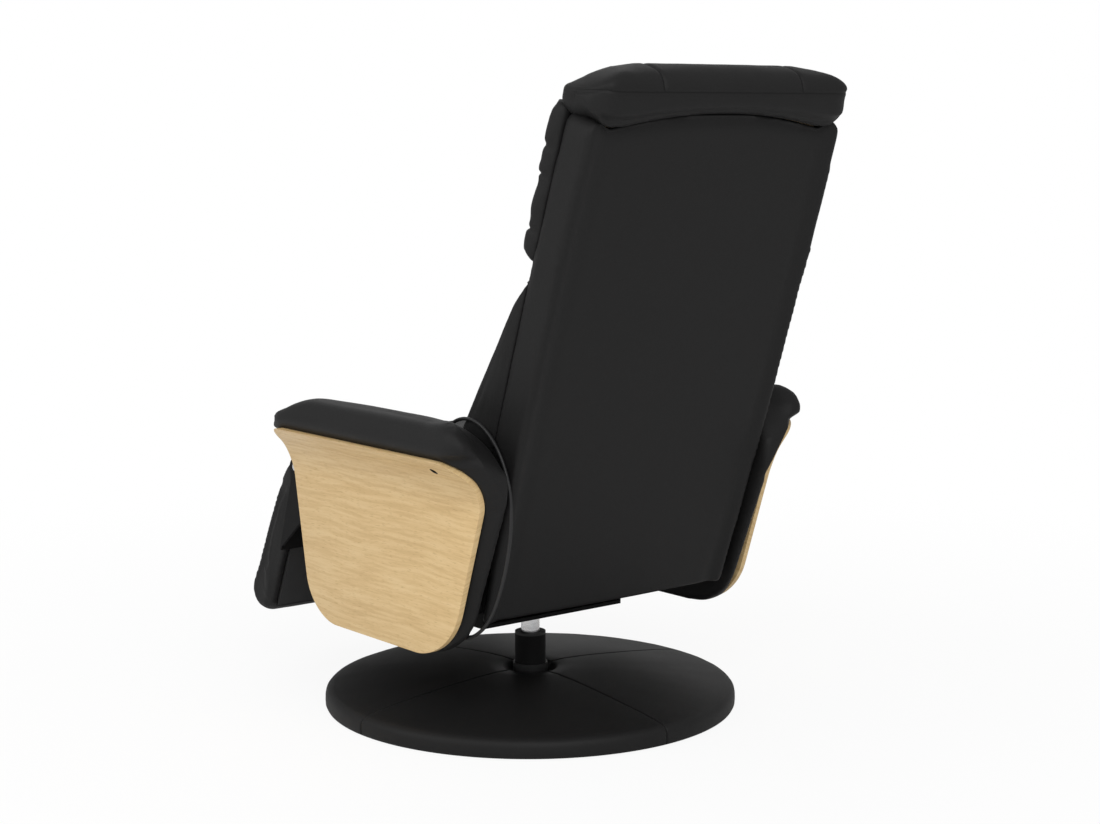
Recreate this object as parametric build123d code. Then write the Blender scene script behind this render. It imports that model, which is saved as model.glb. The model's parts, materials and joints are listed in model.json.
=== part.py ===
from build123d import *
import math
import os

# Swivelling massage recliner. Millimetres, +Z up, the sitter faces -Y and has +X on the left.
# The origin is on the floor, under the middle of the round base.

# Clearances
RUNNING = 0.05
SEAT_GAP = 0.3
SIDE_PLAY = 1.5

# Base
BASE_DIAMETER = 660.0
BASE_RIM_HEIGHT = 28.0
BASE_CROWN_HEIGHT = 46.0
BASE_DOME_RISE = 3.5
BASE_EDGE_RADIUS = 9.0
BASE_COVER_WALL = 8.0
BASE_PLATE_THICKNESS = 6.0
GLIDE_HEIGHT = 3.0
GLIDE_DIAMETER = 26.0
GLIDE_INSET = 42.0
GLIDE_COUNT = 6
GLIDE_CENTRE_DIAMETER = 40.0

# Column and swivel
COLUMN_DIAMETER = 50.0
COLUMN_WALL = 3.0
COLUMN_TOP = 111.0
FLANGE_DIAMETER = 120.0
FLANGE_THICKNESS = 6.0
FLANGE_BOLT_CIRCLE = 92.0
FLANGE_BOLT_COUNT = 4
COLLAR_HEIGHT = 18.0
COLLAR_WALL = 3.0
SPINDLE_DIAMETER = 30.0
BUSH_LENGTH = 66.0
BUSH_FLANGE = 4.0
THRUST_THICKNESS = 4.0
BOLT_DIAMETER = 8.0
BOLT_HEAD_DIAMETER = 13.0
BOLT_HEAD_HEIGHT = 5.0

# Chassis under the seat
BRACKET_BOTTOM = 150.0
BRACKET_PLATE = 6.0
BRACKET_WIDTH = 284.0
BRACKET_WALL = 4.0
BRACKET_FLANGE = 30.0
BRACKET_HUB_DIAMETER = 46.0
BRACKET_HUB_HEIGHT = 10.0
CROSS_BAR_BOTTOM = 186.0
CROSS_BAR_HEIGHT = 30.0
CROSS_BAR_DEPTH = 40.0
CROSS_BAR_WALL = 2.5
FRONT_BAR_Y = -100.0
REAR_BAR_Y = 40.0
CHASSIS_PLATE = 5.0

# Seat
SEAT_BOX_CLEARANCE = 12.5
SEAT_BOARD_THICKNESS = 18.0
SEAT_BOX_FRONT_Y = -226.0
SEAT_BOX_REAR_Y = 56.0
SEAT_DECK_Z = 345.0
SEAT_DECK_THICKNESS = 6.0
SEAT_DECK_FRONT_Y = -268.0
SEAT_DECK_REAR_Y = 112.0
SEAT_WIDTH = 500.0
SEAT_FRONT_Y = -284.0
SEAT_REAR_Y = 134.0
SEAT_EDGE_HEIGHT = 62.0
SEAT_CROWN = 14.0
SEAT_SHOULDER = 12.0

# Recline linkage
PIVOT_Y = 150.0
PIVOT_Z = 340.0
PIVOT_DIAMETER = 12.0
PIVOT_EYE_DIAMETER = 28.0
FOOT_PIVOT_Y = -300.0
FOOT_PIVOT_Z = 372.0
CRANK_RADIUS = 120.6
CRANK_START_DEGREES = -12.0
FOOT_CRANK_RADIUS = 67.4
FOOT_CRANK_START_DEGREES = -27.0
LINK_THICKNESS = 5.0
LINK_PLAY = 1.0
LINK_WIDTH = 18.0
LINK_PIN_DIAMETER = 8.0
LINK_FRONT_PLAY = 3.0
LINK_FRONT_DROP = 2.45
LEVER_THICKNESS = 5.0
LEVER_EYE_DIAMETER = 26.0

# Arms
ARM_GAP = 6.0
ARM_LOWER_THICKNESS = 35.5
PANEL_THICKNESS = 9.0
PANEL_BEND_Z = 372.0
PANEL_BEND_RADIUS = 76.0
PANEL_FLARE_DEGREES = 52.5
PANEL_TOP_Z = 457.0
PANEL_BOTTOM_Z = 139.0
PANEL_FRONT_Y = -258.0
PANEL_REAR_Y = 258.0
PANEL_HIP_Y = 256.0
PANEL_HIP_Z = 396.0
PANEL_FOOT_FRONT_Y = -198.0
PANEL_FOOT_REAR_Y = 171.0
PANEL_CORNERS = (58.0, 34.0, 130.0, 118.0, 88.0)
ARM_TOP_Z = 513.0
ARM_TOP_WIDTH = 96.0
ARM_BOTTOM_Z = 140.0
ARM_FRONT_Y = -268.0
ARM_NOSE_Z = 418.0
ARM_NOSE_BOW = 31.0
ARM_CREST_FRONT_Y = -70.0
ARM_CREST_REAR_Y = 225.0
ARM_REAR_Y = 281.0
ARM_HEEL_HIGH_Z = 455.0
ARM_HEEL_BOW = 17.0
ARM_HEEL_Y = 280.0
ARM_HEEL_Z = 400.0
ARM_REAR_LOW_Y = 203.0
ARM_REAR_LOW_Z = 208.0
ARM_TOE_REAR_Y = 96.0
ARM_TOE_REAR_BOW = 18.9
ARM_TOE_FRONT_Y = -140.0
ARM_TOE_FRONT_BOW = 24.9
ARM_FRONT_LOW_Y = -228.0
ARM_FRONT_LOW_Z = 215.0
ARM_ROLL = 34.0
ARM_NOSE_ROUND = 90.0
ARM_INNER_CREST_Y = 150.0
ARM_INNER_CREST_Z = 491.0
ARM_INNER_HEEL_Z = 424.0
ARM_INNER_HEEL_BOW = 17.7
ARM_TILT = 0.5
ARM_TAIL_ROUND = 52.0
ARM_TIP = 8.0
ARM_TIP_ROUND = 8.0
ARM_SLANT = 1.3
ARM_SLANT_TOP_Y = 272.0
ARM_BOARD_THICKNESS = 12.0
ARM_BOARD_INSET = 6.0
ARM_BOARD_FRONT_Y = -180.0
ARM_BOARD_REAR_Y = 150.0
ARM_BOARD_LOW_Z = 170.0
ARM_BOARD_HIGH_Z = 352.0
ARM_SCREW_Y = 189.0
ARM_SCREW_Z = 437.0
ARM_SCREW_HOLE = 12.0
ARM_SCREW_HEAD = 11.0
ARM_SCREW_SHANK = 5.0
ARM_SCREW_LENGTH = 30.0
ARM_SCREW_RECESS = 3.0

# Backrest, measured along the leaning panel from its lower edge
BACK_LEAN_DEGREES = 18.27
BACK_FOOT_Y = 193.8
BACK_FOOT_Z = 198.0
BACK_PANEL_THICKNESS = 12.0
BACK_FOOT_MARGIN = 4.0
BACK_WAIST_MARGIN = 14.0
BACK_SHOULDER_MARGIN = 6.0
BACK_WAIST_HEIGHT = 378.0
BACK_ARCH_HEIGHT = 788.0
BACK_ARCH_RISE = 32.0
BACK_CORNER_RADIUS = 24.0
BACK_DEPTH = 58.0
UPRIGHT_THICKNESS = 20.0
UPRIGHT_FOOT = 60.0
SHOULDER_FILL = 56.0
RAIL_HEIGHT = 40.0
RAIL_DEPTH = 35.0
MID_RAIL_HEIGHT = 440.0
SUPPORT_THICKNESS = 4.0
SUPPORT_FOOT = 180.0
BACK_BRACKET_THICKNESS = 5.0
BACK_BRACKET_TOP = 265.0
CAP_OVERHANG = 18.0
CAP_HEIGHT = 63.0
CAP_GAP = 1.5
CAP_REAR = 18.0
CAP_FRONT = 76.0
CAP_END_ROUND = 44.0
UPPER_OVERHANG = 10.0
UPPER_FOOT = 548.0
UPPER_VALLEYS = (594.0, 676.0, 711.0, 752.0)
UPPER_EDGE_DEPTH = 95.0
UPPER_CROWN = 27.0
UPPER_VALLEY_SINK = 6.0
WING_OVERHANG = 14.0
WING_WIDTH = 48.0
WING_GAP = 2.0
WING_FOOT = 206.0
WING_TOP = 536.0
WING_TOE_DEPTH = 142.0
WING_TOE_RISE = 20.0
WING_WAIST_DEPTH = 107.0
WING_ROUND = 6.0
LUMBAR_FOOT = 170.0
LUMBAR_TOP = 541.0
LUMBAR_EDGE_DEPTH = 104.0
LUMBAR_CROWN = 18.0
LUMBAR_TOP_DEPTH = 66.0
LUMBAR_ROUND = 12.0

# Footrest
FOOT_SIDE_GAP = 4.5
FOOT_SIDE_FRONT = [(-331, 370), (-381, 313), (-430, 217), (-458, 152), (-450, 114)]
FOOT_SIDE_REAR = [(-406, 116), (-304, 357)]
FOOT_BROW = 12.0
FOOT_SIDE_ROUND = 14.0
FOOT_SIDE_DRAW = 0.05
FOOT_BOARD_THICKNESS = 12.0
FOOT_FLANGE_THICKNESS = 4.0
FOOT_FLANGE_WIDTH = 45.0

# Vibration motors
MOTOR_LENGTH = 64.0
MOTOR_WIDTH = 40.0
MOTOR_DEPTH = 30.0
MOTOR_WALL = 3.0
MOTOR_CAN_DIAMETER = 22.0
MOTOR_CAN_LENGTH = 24.0
ROTOR_SHAFT_DIAMETER = 4.0
ROTOR_WEIGHT_DIAMETER = 22.0
ROTOR_WEIGHT_LENGTH = 10.0
MOTOR_SPREAD = 220.0
UPPER_MOTOR_DROP = 100.0
LOWER_MOTOR_HEIGHT = 330.0
SEAT_MOTOR_Y = -110.0

# Control box, hand control and its cord
BOX_LENGTH = 100.0
BOX_WIDTH = 80.0
BOX_HEIGHT = 40.0
BOX_BOTTOM_Z = 224.0
BOX_Y = -20.0
BOX_WALL = 2.5
INLET_DIAMETER = 12.0
INLET_BORE = 5.5
INLET_LENGTH = 9.0
CORD_DIAMETER = 5.5
GLAND_DIAMETER = 11.0
GLAND_LENGTH = 12.0
HANDSET_LENGTH = 140.0
HANDSET_WIDTH = 46.0
HANDSET_HEIGHT = 17.0
HANDSET_WALL = 2.2
HANDSET_SPLIT = 8.5
HANDSET_CORNER = 9.0
HANDSET_X = 150.0
HANDSET_Y = -90.0
BUTTON_DIAMETER = 13.0
BUTTON_PLAY = 0.25
BUTTON_RISE = 1.6
BUTTON_RIM = 1.2
BUTTON_PITCH = 24.0
BUTTON_NAMES = ("power", "mode", "speed", "heat")
RELIEF_LENGTH = 22.0
RELIEF_DIAMETER = 9.0

# Values that follow from those above
PLATE_TOP = GLIDE_HEIGHT + BASE_PLATE_THICKNESS
PLATE_RADIUS = BASE_DIAMETER / 2 - BASE_COVER_WALL
GLIDE_RADIUS = PLATE_RADIUS - GLIDE_INSET
COLUMN_RADIUS = COLUMN_DIAMETER / 2
COLUMN_BORE = COLUMN_RADIUS - COLUMN_WALL
SPINDLE_RADIUS = SPINDLE_DIAMETER / 2
THRUST_TOP = PLATE_TOP + THRUST_THICKNESS
CROSS_BAR_TOP = CROSS_BAR_BOTTOM + CROSS_BAR_HEIGHT
SEAT_HALF = SEAT_WIDTH / 2
SEAT_BASE_Z = SEAT_DECK_Z + SEAT_GAP
SEAT_EDGE_Z = SEAT_BASE_Z + SEAT_EDGE_HEIGHT
SEAT_CROWN_Z = SEAT_EDGE_Z + SEAT_CROWN
SEAT_TOP_HALF = SEAT_HALF - SEAT_SHOULDER
CROWN_RADIUS = (SEAT_TOP_HALF**2 + SEAT_CROWN**2) / (2 * SEAT_CROWN)
ARM_INNER_X = SEAT_HALF + ARM_GAP
ARM_OUTER_X = ARM_INNER_X + ARM_TOP_WIDTH
PANEL_OUTER_X = ARM_INNER_X + ARM_LOWER_THICKNESS
CHASSIS_INNER_X = ARM_INNER_X - CHASSIS_PLATE
LEVER_INNER_X = CHASSIS_INNER_X - SIDE_PLAY - LEVER_THICKNESS
LINK_OUTER_X = LEVER_INNER_X - LINK_PLAY
LINK_INNER_X = LINK_OUTER_X - LINK_THICKNESS
BACK_BRACKET_OUTER_X = LINK_INNER_X - SIDE_PLAY
UPRIGHT_OUTER_X = BACK_BRACKET_OUTER_X - BACK_BRACKET_THICKNESS
SEAT_BOX_HALF = LINK_INNER_X - SEAT_BOX_CLEARANCE
FOOT_HALF_WIDTH = LEVER_INNER_X - FOOT_SIDE_GAP
BACK_FOOT_HALF = UPRIGHT_OUTER_X + BACK_FOOT_MARGIN
BACK_WAIST_HALF = UPRIGHT_OUTER_X + BACK_WAIST_MARGIN
BACK_SHOULDER_HALF = UPRIGHT_OUTER_X + BACK_SHOULDER_MARGIN
BACK_SHOULDER_HEIGHT = BACK_ARCH_HEIGHT - BACK_ARCH_RISE
UPRIGHT_TOP = BACK_SHOULDER_HEIGHT - SHOULDER_FILL
UPPER_MOTOR_HEIGHT = UPRIGHT_TOP - UPPER_MOTOR_DROP
CAP_HALF_WIDTH = UPRIGHT_OUTER_X + CAP_OVERHANG
CAP_TOP = BACK_ARCH_HEIGHT + CAP_HEIGHT
UPPER_CUSHION_HALF = UPRIGHT_OUTER_X + UPPER_OVERHANG
WING_OUTER_X = UPRIGHT_OUTER_X + WING_OVERHANG
LUMBAR_HALF = WING_OUTER_X - WING_WIDTH - WING_GAP
BACK_FRONT = -BACK_DEPTH - SUPPORT_THICKNESS / 4
UPRIGHT_FRONT = BACK_FRONT + SUPPORT_THICKNESS
CUSHION_REAR = BACK_FRONT - SEAT_GAP
BACK_PLACE = Pos(0, BACK_FOOT_Y, BACK_FOOT_Z) * Rot(-BACK_LEAN_DEGREES, 0, 0)
SIDES = {"left": 1, "right": -1}


def crank_point(pivot_y, pivot_z, radius, degrees):
    """Point on a crank that hangs below its pivot, turned forwards by the angle."""
    turn = math.radians(degrees)
    return pivot_y - radius * math.sin(turn), pivot_z - radius * math.cos(turn)


CRANK_Y, CRANK_Z = crank_point(PIVOT_Y, PIVOT_Z, CRANK_RADIUS, CRANK_START_DEGREES)
FOOT_CRANK_Y, FOOT_CRANK_Z = crank_point(
    FOOT_PIVOT_Y, FOOT_PIVOT_Z, FOOT_CRANK_RADIUS, FOOT_CRANK_START_DEGREES
)


def block(x_span, y_span, z_span):
    """Box between two limits on each axis."""
    size = [high - low for low, high in (x_span, y_span, z_span)]
    centre = [(high + low) / 2 for low, high in (x_span, y_span, z_span)]
    return Pos(*centre) * Box(*size)


def rod_z(radius, low, high, x=0.0, y=0.0):
    """Upright cylinder between two heights."""
    return Pos(x, y, (low + high) / 2) * Cylinder(radius, high - low)


def rod_x(radius, low, high, y, z):
    """Cylinder along X between two limits."""
    return Pos((low + high) / 2, y, z) * Rot(0, 90, 0) * Cylinder(radius, high - low)


def slab_x(face, low, high):
    """Prism along X from a face drawn with (y, z) coordinates."""
    return extrude(Plane.YZ.offset(low) * face, high - low)


def slab_y(face, low, high):
    """Prism along Y from a face drawn with (x, z) coordinates."""
    return extrude(Plane.XZ.offset(-high) * face, high - low)


def slab_z(face, low, high):
    """Prism along Z from a face drawn with (x, y) coordinates."""
    return extrude(Plane.XY.offset(low) * face, high - low)


def rounded(points, radii):
    """Face inside a closed outline whose corners are rounded."""
    return make_face(FilletPolyline(points, radius=radii, close=True))


def outline(*edges):
    """Face inside edges that meet end to end."""
    return make_face(edges)


def bowed(start, end, bow):
    """Arc between two points, bowed out on the left of its direction by a distance."""
    run_y = end[0] - start[0]
    run_z = end[1] - start[1]
    share = bow / math.hypot(run_y, run_z)
    middle = ((start[0] + end[0]) / 2 - run_z * share, (start[1] + end[1]) / 2 + run_y * share)
    return ThreePointArc(start, middle, end)


def mirrored(solid):
    """The same solid on the sitter's right."""
    return mirror(solid, Plane.YZ)


def on_side(solid, side):
    """The left-hand solid, or its mirror image."""
    return solid if side > 0 else mirrored(solid)


def both_sides(solid):
    """The left-hand solid with its mirror image, as separate solids."""
    return Compound(children=[solid, mirrored(solid)])


def group(solids):
    """Separate solids in one node."""
    return Compound(children=list(solids))


# Base and column
def base_glides():
    angles = [360 * k / GLIDE_COUNT for k in range(GLIDE_COUNT)]
    glide = rod_z(GLIDE_DIAMETER / 2, 0, GLIDE_HEIGHT, GLIDE_RADIUS)
    middle = rod_z(GLIDE_CENTRE_DIAMETER / 2, 0, GLIDE_HEIGHT)
    return group([middle] + [Rot(0, 0, angle) * glide for angle in angles])


def flange_bolt_places():
    angles = [45 + 360 * k / FLANGE_BOLT_COUNT for k in range(FLANGE_BOLT_COUNT)]
    return [Rot(0, 0, angle) * Pos(FLANGE_BOLT_CIRCLE / 2, 0, 0) for angle in angles]


def base_plate():
    plate = rod_z(PLATE_RADIUS - SEAT_GAP, GLIDE_HEIGHT, PLATE_TOP)
    hole = rod_z(BOLT_DIAMETER / 2 + RUNNING, 0, PLATE_TOP + 1)
    for place in flange_bolt_places():
        plate -= place * hole
    return plate


def base_cover():
    outer = BASE_DIAMETER / 2
    inner = COLUMN_RADIUS + SEAT_GAP
    recess = FLANGE_DIAMETER / 2 + SEAT_GAP
    recess_top = PLATE_TOP + FLANGE_THICKNESS + BOLT_HEAD_HEIGHT + SEAT_GAP
    middle = (outer + inner) / 2
    dome_middle = (BASE_RIM_HEIGHT + BASE_CROWN_HEIGHT) / 2 + BASE_DOME_RISE
    hem = GLIDE_HEIGHT / 2
    steps = Polyline(
        (inner, 0, BASE_CROWN_HEIGHT),
        (inner, 0, recess_top),
        (recess, 0, recess_top),
        (recess, 0, PLATE_TOP),
        (PLATE_RADIUS, 0, PLATE_TOP),
        (PLATE_RADIUS, 0, hem),
        (outer, 0, hem),
        (outer, 0, BASE_RIM_HEIGHT),
    )
    dome = ThreePointArc(
        (outer, 0, BASE_RIM_HEIGHT), (middle, 0, dome_middle), (inner, 0, BASE_CROWN_HEIGHT)
    )
    cover = revolve(outline(*steps.edges(), dome), Axis.Z)
    rim = cover.edges().filter_by(GeomType.CIRCLE).filter_by(lambda e: abs(e.radius - outer) < 0.1)
    return fillet(rim.sort_by(Axis.Z)[-1:], BASE_EDGE_RADIUS)


def column_tube():
    tube = rod_z(COLUMN_RADIUS, PLATE_TOP, COLUMN_TOP)
    tube += rod_z(FLANGE_DIAMETER / 2, PLATE_TOP, PLATE_TOP + FLANGE_THICKNESS)
    tube -= rod_z(COLUMN_BORE, 0, COLUMN_TOP + 1)
    hole = rod_z(BOLT_DIAMETER / 2 + RUNNING, 0, COLUMN_TOP)
    for place in flange_bolt_places():
        tube -= place * hole
    return tube


def column_bolts():
    seat = PLATE_TOP + FLANGE_THICKNESS
    bolt = rod_z(BOLT_DIAMETER / 2, GLIDE_HEIGHT, seat)
    bolt += rod_z(BOLT_HEAD_DIAMETER / 2, seat, seat + BOLT_HEAD_HEIGHT)
    return group(place * bolt for place in flange_bolt_places())


def column_collar():
    bore = COLUMN_RADIUS + RUNNING
    top = BASE_CROWN_HEIGHT + COLLAR_HEIGHT
    collar = rod_z(bore + COLLAR_WALL, BASE_CROWN_HEIGHT, top)
    collar -= rod_z(bore, BASE_CROWN_HEIGHT - 1, top + 1)
    return chamfer(collar.edges().sort_by(Axis.Z)[-1:], COLLAR_WALL / 3)


def swivel_bush():
    bush = rod_z(COLUMN_BORE - RUNNING, COLUMN_TOP - BUSH_LENGTH, COLUMN_TOP)
    bush += rod_z(COLUMN_RADIUS, COLUMN_TOP, COLUMN_TOP + BUSH_FLANGE)
    return bush - rod_z(SPINDLE_RADIUS + RUNNING, 0, COLUMN_TOP + BUSH_FLANGE + 1)


def thrust_washer():
    return rod_z(COLUMN_BORE - RUNNING, PLATE_TOP, THRUST_TOP)


# Chassis
def spindle():
    return rod_z(SPINDLE_RADIUS, THRUST_TOP + RUNNING, BRACKET_BOTTOM + BRACKET_PLATE + BRACKET_HUB_HEIGHT)


def bracket_bolt_places():
    reach = BRACKET_WIDTH / 2 + BRACKET_FLANGE / 2
    return [Pos(x, y, 0) for x in (-reach, reach) for y in (FRONT_BAR_Y, REAR_BAR_Y)]


def swivel_bracket():
    half = BRACKET_WIDTH / 2
    span = (FRONT_BAR_Y - CROSS_BAR_DEPTH / 2, REAR_BAR_Y + CROSS_BAR_DEPTH / 2)
    top = CROSS_BAR_BOTTOM
    plate_top = BRACKET_BOTTOM + BRACKET_PLATE
    bracket = block((-half, half), span, (BRACKET_BOTTOM, plate_top))
    for side in SIDES.values():
        wall = sorted((side * half, side * (half - BRACKET_WALL)))
        ledge = sorted((side * (half - BRACKET_WALL), side * (half + BRACKET_FLANGE)))
        bracket += block(wall, span, (BRACKET_BOTTOM, top))
        bracket += block(ledge, span, (top - BRACKET_WALL, top))
    bracket += rod_z(BRACKET_HUB_DIAMETER / 2, plate_top, plate_top + BRACKET_HUB_HEIGHT)
    bracket -= rod_z(SPINDLE_RADIUS, 0, plate_top + BRACKET_HUB_HEIGHT + 1)
    hole = rod_z(BOLT_DIAMETER / 2 + RUNNING, top - BRACKET_WALL - 1, top + 1)
    for place in bracket_bolt_places():
        bracket -= place * hole
    return bracket


def bracket_bolts():
    low = CROSS_BAR_BOTTOM - BRACKET_WALL
    high = CROSS_BAR_BOTTOM + CROSS_BAR_WALL
    bolt = rod_z(BOLT_HEAD_DIAMETER / 2, low - BOLT_HEAD_HEIGHT, low)
    bolt += rod_z(BOLT_DIAMETER / 2, low, high)
    bolt += rod_z(BOLT_HEAD_DIAMETER / 2, high, high + BOLT_HEAD_HEIGHT)
    return group(place * bolt for place in bracket_bolt_places())


def cross_bars():
    reach = (-CHASSIS_INNER_X, CHASSIS_INNER_X)
    hole = rod_z(BOLT_DIAMETER / 2 + RUNNING, CROSS_BAR_BOTTOM - 1, CROSS_BAR_BOTTOM + CROSS_BAR_WALL + 1)
    bars = []
    for middle in (FRONT_BAR_Y, REAR_BAR_Y):
        half = CROSS_BAR_DEPTH / 2
        inside = half - CROSS_BAR_WALL
        bar = block(reach, (middle - half, middle + half), (CROSS_BAR_BOTTOM, CROSS_BAR_TOP))
        bar -= block(
            reach,
            (middle - inside, middle + inside),
            (CROSS_BAR_BOTTOM + CROSS_BAR_WALL, CROSS_BAR_TOP - CROSS_BAR_WALL),
        )
        for place in bracket_bolt_places():
            bar -= place * hole
        bars.append(bar)
    return group(bars)


ARM_BOLT_PLACES = [
    (FRONT_BAR_Y - CROSS_BAR_DEPTH, CROSS_BAR_TOP + CROSS_BAR_HEIGHT * 2),
    (FRONT_BAR_Y + CROSS_BAR_DEPTH, CROSS_BAR_TOP + CROSS_BAR_HEIGHT),
    (REAR_BAR_Y, CROSS_BAR_TOP + CROSS_BAR_HEIGHT),
]


def chassis_plate():
    """Left mechanism plate, with an ear for the recline pivot and one for the footrest pivot."""
    eye = PIVOT_EYE_DIAMETER / 2
    front = FRONT_BAR_Y - CROSS_BAR_DEPTH * 0.6
    rear = REAR_BAR_Y + CROSS_BAR_DEPTH * 0.6
    top = SEAT_DECK_Z - SEAT_DECK_THICKNESS
    web = make_face(
        Polyline(
            (front, CROSS_BAR_BOTTOM),
            (rear, CROSS_BAR_BOTTOM),
            (rear, PIVOT_Z - eye * 2),
            (PIVOT_Y, PIVOT_Z - eye),
            (PIVOT_Y, PIVOT_Z + eye),
            (rear - CROSS_BAR_DEPTH, top),
            (SEAT_DECK_FRONT_Y, top),
            (FOOT_PIVOT_Y, FOOT_PIVOT_Z + eye),
            (FOOT_PIVOT_Y - eye * 0.9, FOOT_PIVOT_Z - eye * 0.4),
            (SEAT_DECK_FRONT_Y, top - CROSS_BAR_HEIGHT * 2),
            close=True,
        )
    )
    span = (CHASSIS_INNER_X, ARM_INNER_X)
    plate = slab_x(web, *span)
    for y, z in ((PIVOT_Y, PIVOT_Z), (FOOT_PIVOT_Y, FOOT_PIVOT_Z)):
        plate += rod_x(eye, *span, y, z)
    for y, z in ((PIVOT_Y, PIVOT_Z), (FOOT_PIVOT_Y, FOOT_PIVOT_Z)):
        plate -= rod_x(PIVOT_DIAMETER / 2, span[0] - 1, span[1] + 1, y, z)
    for y, z in ARM_BOLT_PLACES:
        plate -= rod_x(BOLT_DIAMETER / 2 + RUNNING, span[0] - 1, span[1] + 1, y, z)
    return plate


def pivot_pins():
    """Recline and footrest pivots, fixed in the chassis plates with their heads inside."""
    head = PIVOT_DIAMETER / 2 + 3
    bracket_inner = UPRIGHT_OUTER_X - SIDE_PLAY
    lever_inner = LEVER_INNER_X - SIDE_PLAY
    pins = []
    for inner, y, z in ((bracket_inner, PIVOT_Y, PIVOT_Z), (lever_inner, FOOT_PIVOT_Y, FOOT_PIVOT_Z)):
        pin = rod_x(PIVOT_DIAMETER / 2, inner, ARM_INNER_X, y, z)
        pin += rod_x(head, inner - LINK_THICKNESS / 2, inner + SIDE_PLAY / 2, y, z)
        pins += [pin, mirrored(pin)]
    return group(pins)


# Seat
def seat_side_board():
    outer = SEAT_BOX_HALF
    return block(
        (outer - SEAT_BOARD_THICKNESS, outer),
        (SEAT_BOX_FRONT_Y, SEAT_BOX_REAR_Y),
        (CROSS_BAR_TOP, SEAT_DECK_Z - SEAT_DECK_THICKNESS),
    )


def seat_end_boards():
    inner = SEAT_BOX_HALF - SEAT_BOARD_THICKNESS
    spans = (
        (SEAT_BOX_FRONT_Y, SEAT_BOX_FRONT_Y + SEAT_BOARD_THICKNESS),
        (SEAT_BOX_REAR_Y - SEAT_BOARD_THICKNESS, SEAT_BOX_REAR_Y),
    )
    height = (CROSS_BAR_TOP, SEAT_DECK_Z - SEAT_DECK_THICKNESS)
    return group(block((-inner, inner), span, height) for span in spans)


def seat_deck():
    half = SEAT_BOX_HALF
    return block(
        (-half, half),
        (SEAT_DECK_FRONT_Y, SEAT_DECK_REAR_Y),
        (SEAT_DECK_Z - SEAT_DECK_THICKNESS, SEAT_DECK_Z),
    )


def seat_cushion():
    """Crowned cushion with rounded sides, drawn in at its front and rear ends."""
    base_half = SEAT_HALF - SEAT_SHOULDER / 2
    middle_z = (SEAT_BASE_Z + SEAT_EDGE_Z) / 2
    end_drop = SEAT_EDGE_HEIGHT * 0.3
    soft = SEAT_SHOULDER * 2

    def section(y, draw, drop):
        top = SEAT_TOP_HALF - draw
        edge_z = SEAT_EDGE_Z - drop
        edges = (
            Line((-base_half + draw, y, SEAT_BASE_Z), (base_half - draw, y, SEAT_BASE_Z)),
            ThreePointArc(
                (base_half - draw, y, SEAT_BASE_Z), (SEAT_HALF - draw, y, middle_z), (top, y, edge_z)
            ),
            ThreePointArc((top, y, edge_z), (0, y, SEAT_CROWN_Z - drop), (-top, y, edge_z)),
            ThreePointArc(
                (-top, y, edge_z), (-SEAT_HALF + draw, y, middle_z), (-base_half + draw, y, SEAT_BASE_Z)
            ),
        )
        return outline(*edges)

    sections = [
        section(SEAT_FRONT_Y, soft / 2, end_drop),
        section(SEAT_FRONT_Y + soft / 3, soft / 8, end_drop / 3),
        section(SEAT_FRONT_Y + soft * 1.4, 0, 0),
        section(SEAT_REAR_Y - soft * 1.4, 0, 0),
        section(SEAT_REAR_Y - soft / 3, soft / 8, end_drop / 3),
        section(SEAT_REAR_Y, soft / 2, end_drop),
    ]
    return loft(sections, ruled=True)


# Arms
def flare_point(offset, height):
    """Point of the flared arm section, offset inwards from the panel's outer face."""
    turn = math.radians(PANEL_FLARE_DEGREES)
    centre_x = PANEL_OUTER_X + PANEL_BEND_RADIUS
    radius = PANEL_BEND_RADIUS + offset
    start_x = centre_x - radius * math.cos(turn)
    start_z = PANEL_BEND_Z + radius * math.sin(turn)
    run = (height - start_z) / math.cos(turn)
    return start_x + run * math.sin(turn), height


def bend_edges(offset, low_z, high_z):
    """Flat, bend and flare of the arm section at one offset, from the bottom to the top."""
    turn = math.radians(PANEL_FLARE_DEGREES)
    centre_x = PANEL_OUTER_X + PANEL_BEND_RADIUS
    radius = PANEL_BEND_RADIUS + offset

    def on_bend(angle):
        return centre_x - radius * math.cos(angle), PANEL_BEND_Z + radius * math.sin(angle)

    flat = Line((centre_x - radius, low_z), on_bend(0))
    bend = ThreePointArc(on_bend(0), on_bend(turn / 2), on_bend(turn))
    flare = Line(on_bend(turn), flare_point(offset, high_z))
    return flat, bend, flare


def panel_outline():
    """Side view of the bentwood panel."""
    return rounded(
        [
            (PANEL_FRONT_Y, PANEL_TOP_Z + 1),
            (PANEL_REAR_Y, PANEL_TOP_Z + 1),
            (PANEL_HIP_Y, PANEL_HIP_Z),
            (PANEL_FOOT_REAR_Y, PANEL_BOTTOM_Z),
            (PANEL_FOOT_FRONT_Y, PANEL_BOTTOM_Z),
        ],
        PANEL_CORNERS,
    )


def flare_frame(depth):
    """Place under the flared face at the arm screw, with +Z pointing out of the panel."""
    x, z = flare_point(0, ARM_SCREW_Z)
    return Pos(x, ARM_SCREW_Y, z) * Rot(0, 90 + PANEL_FLARE_DEGREES, 0) * Pos(0, 0, -depth)


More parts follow.
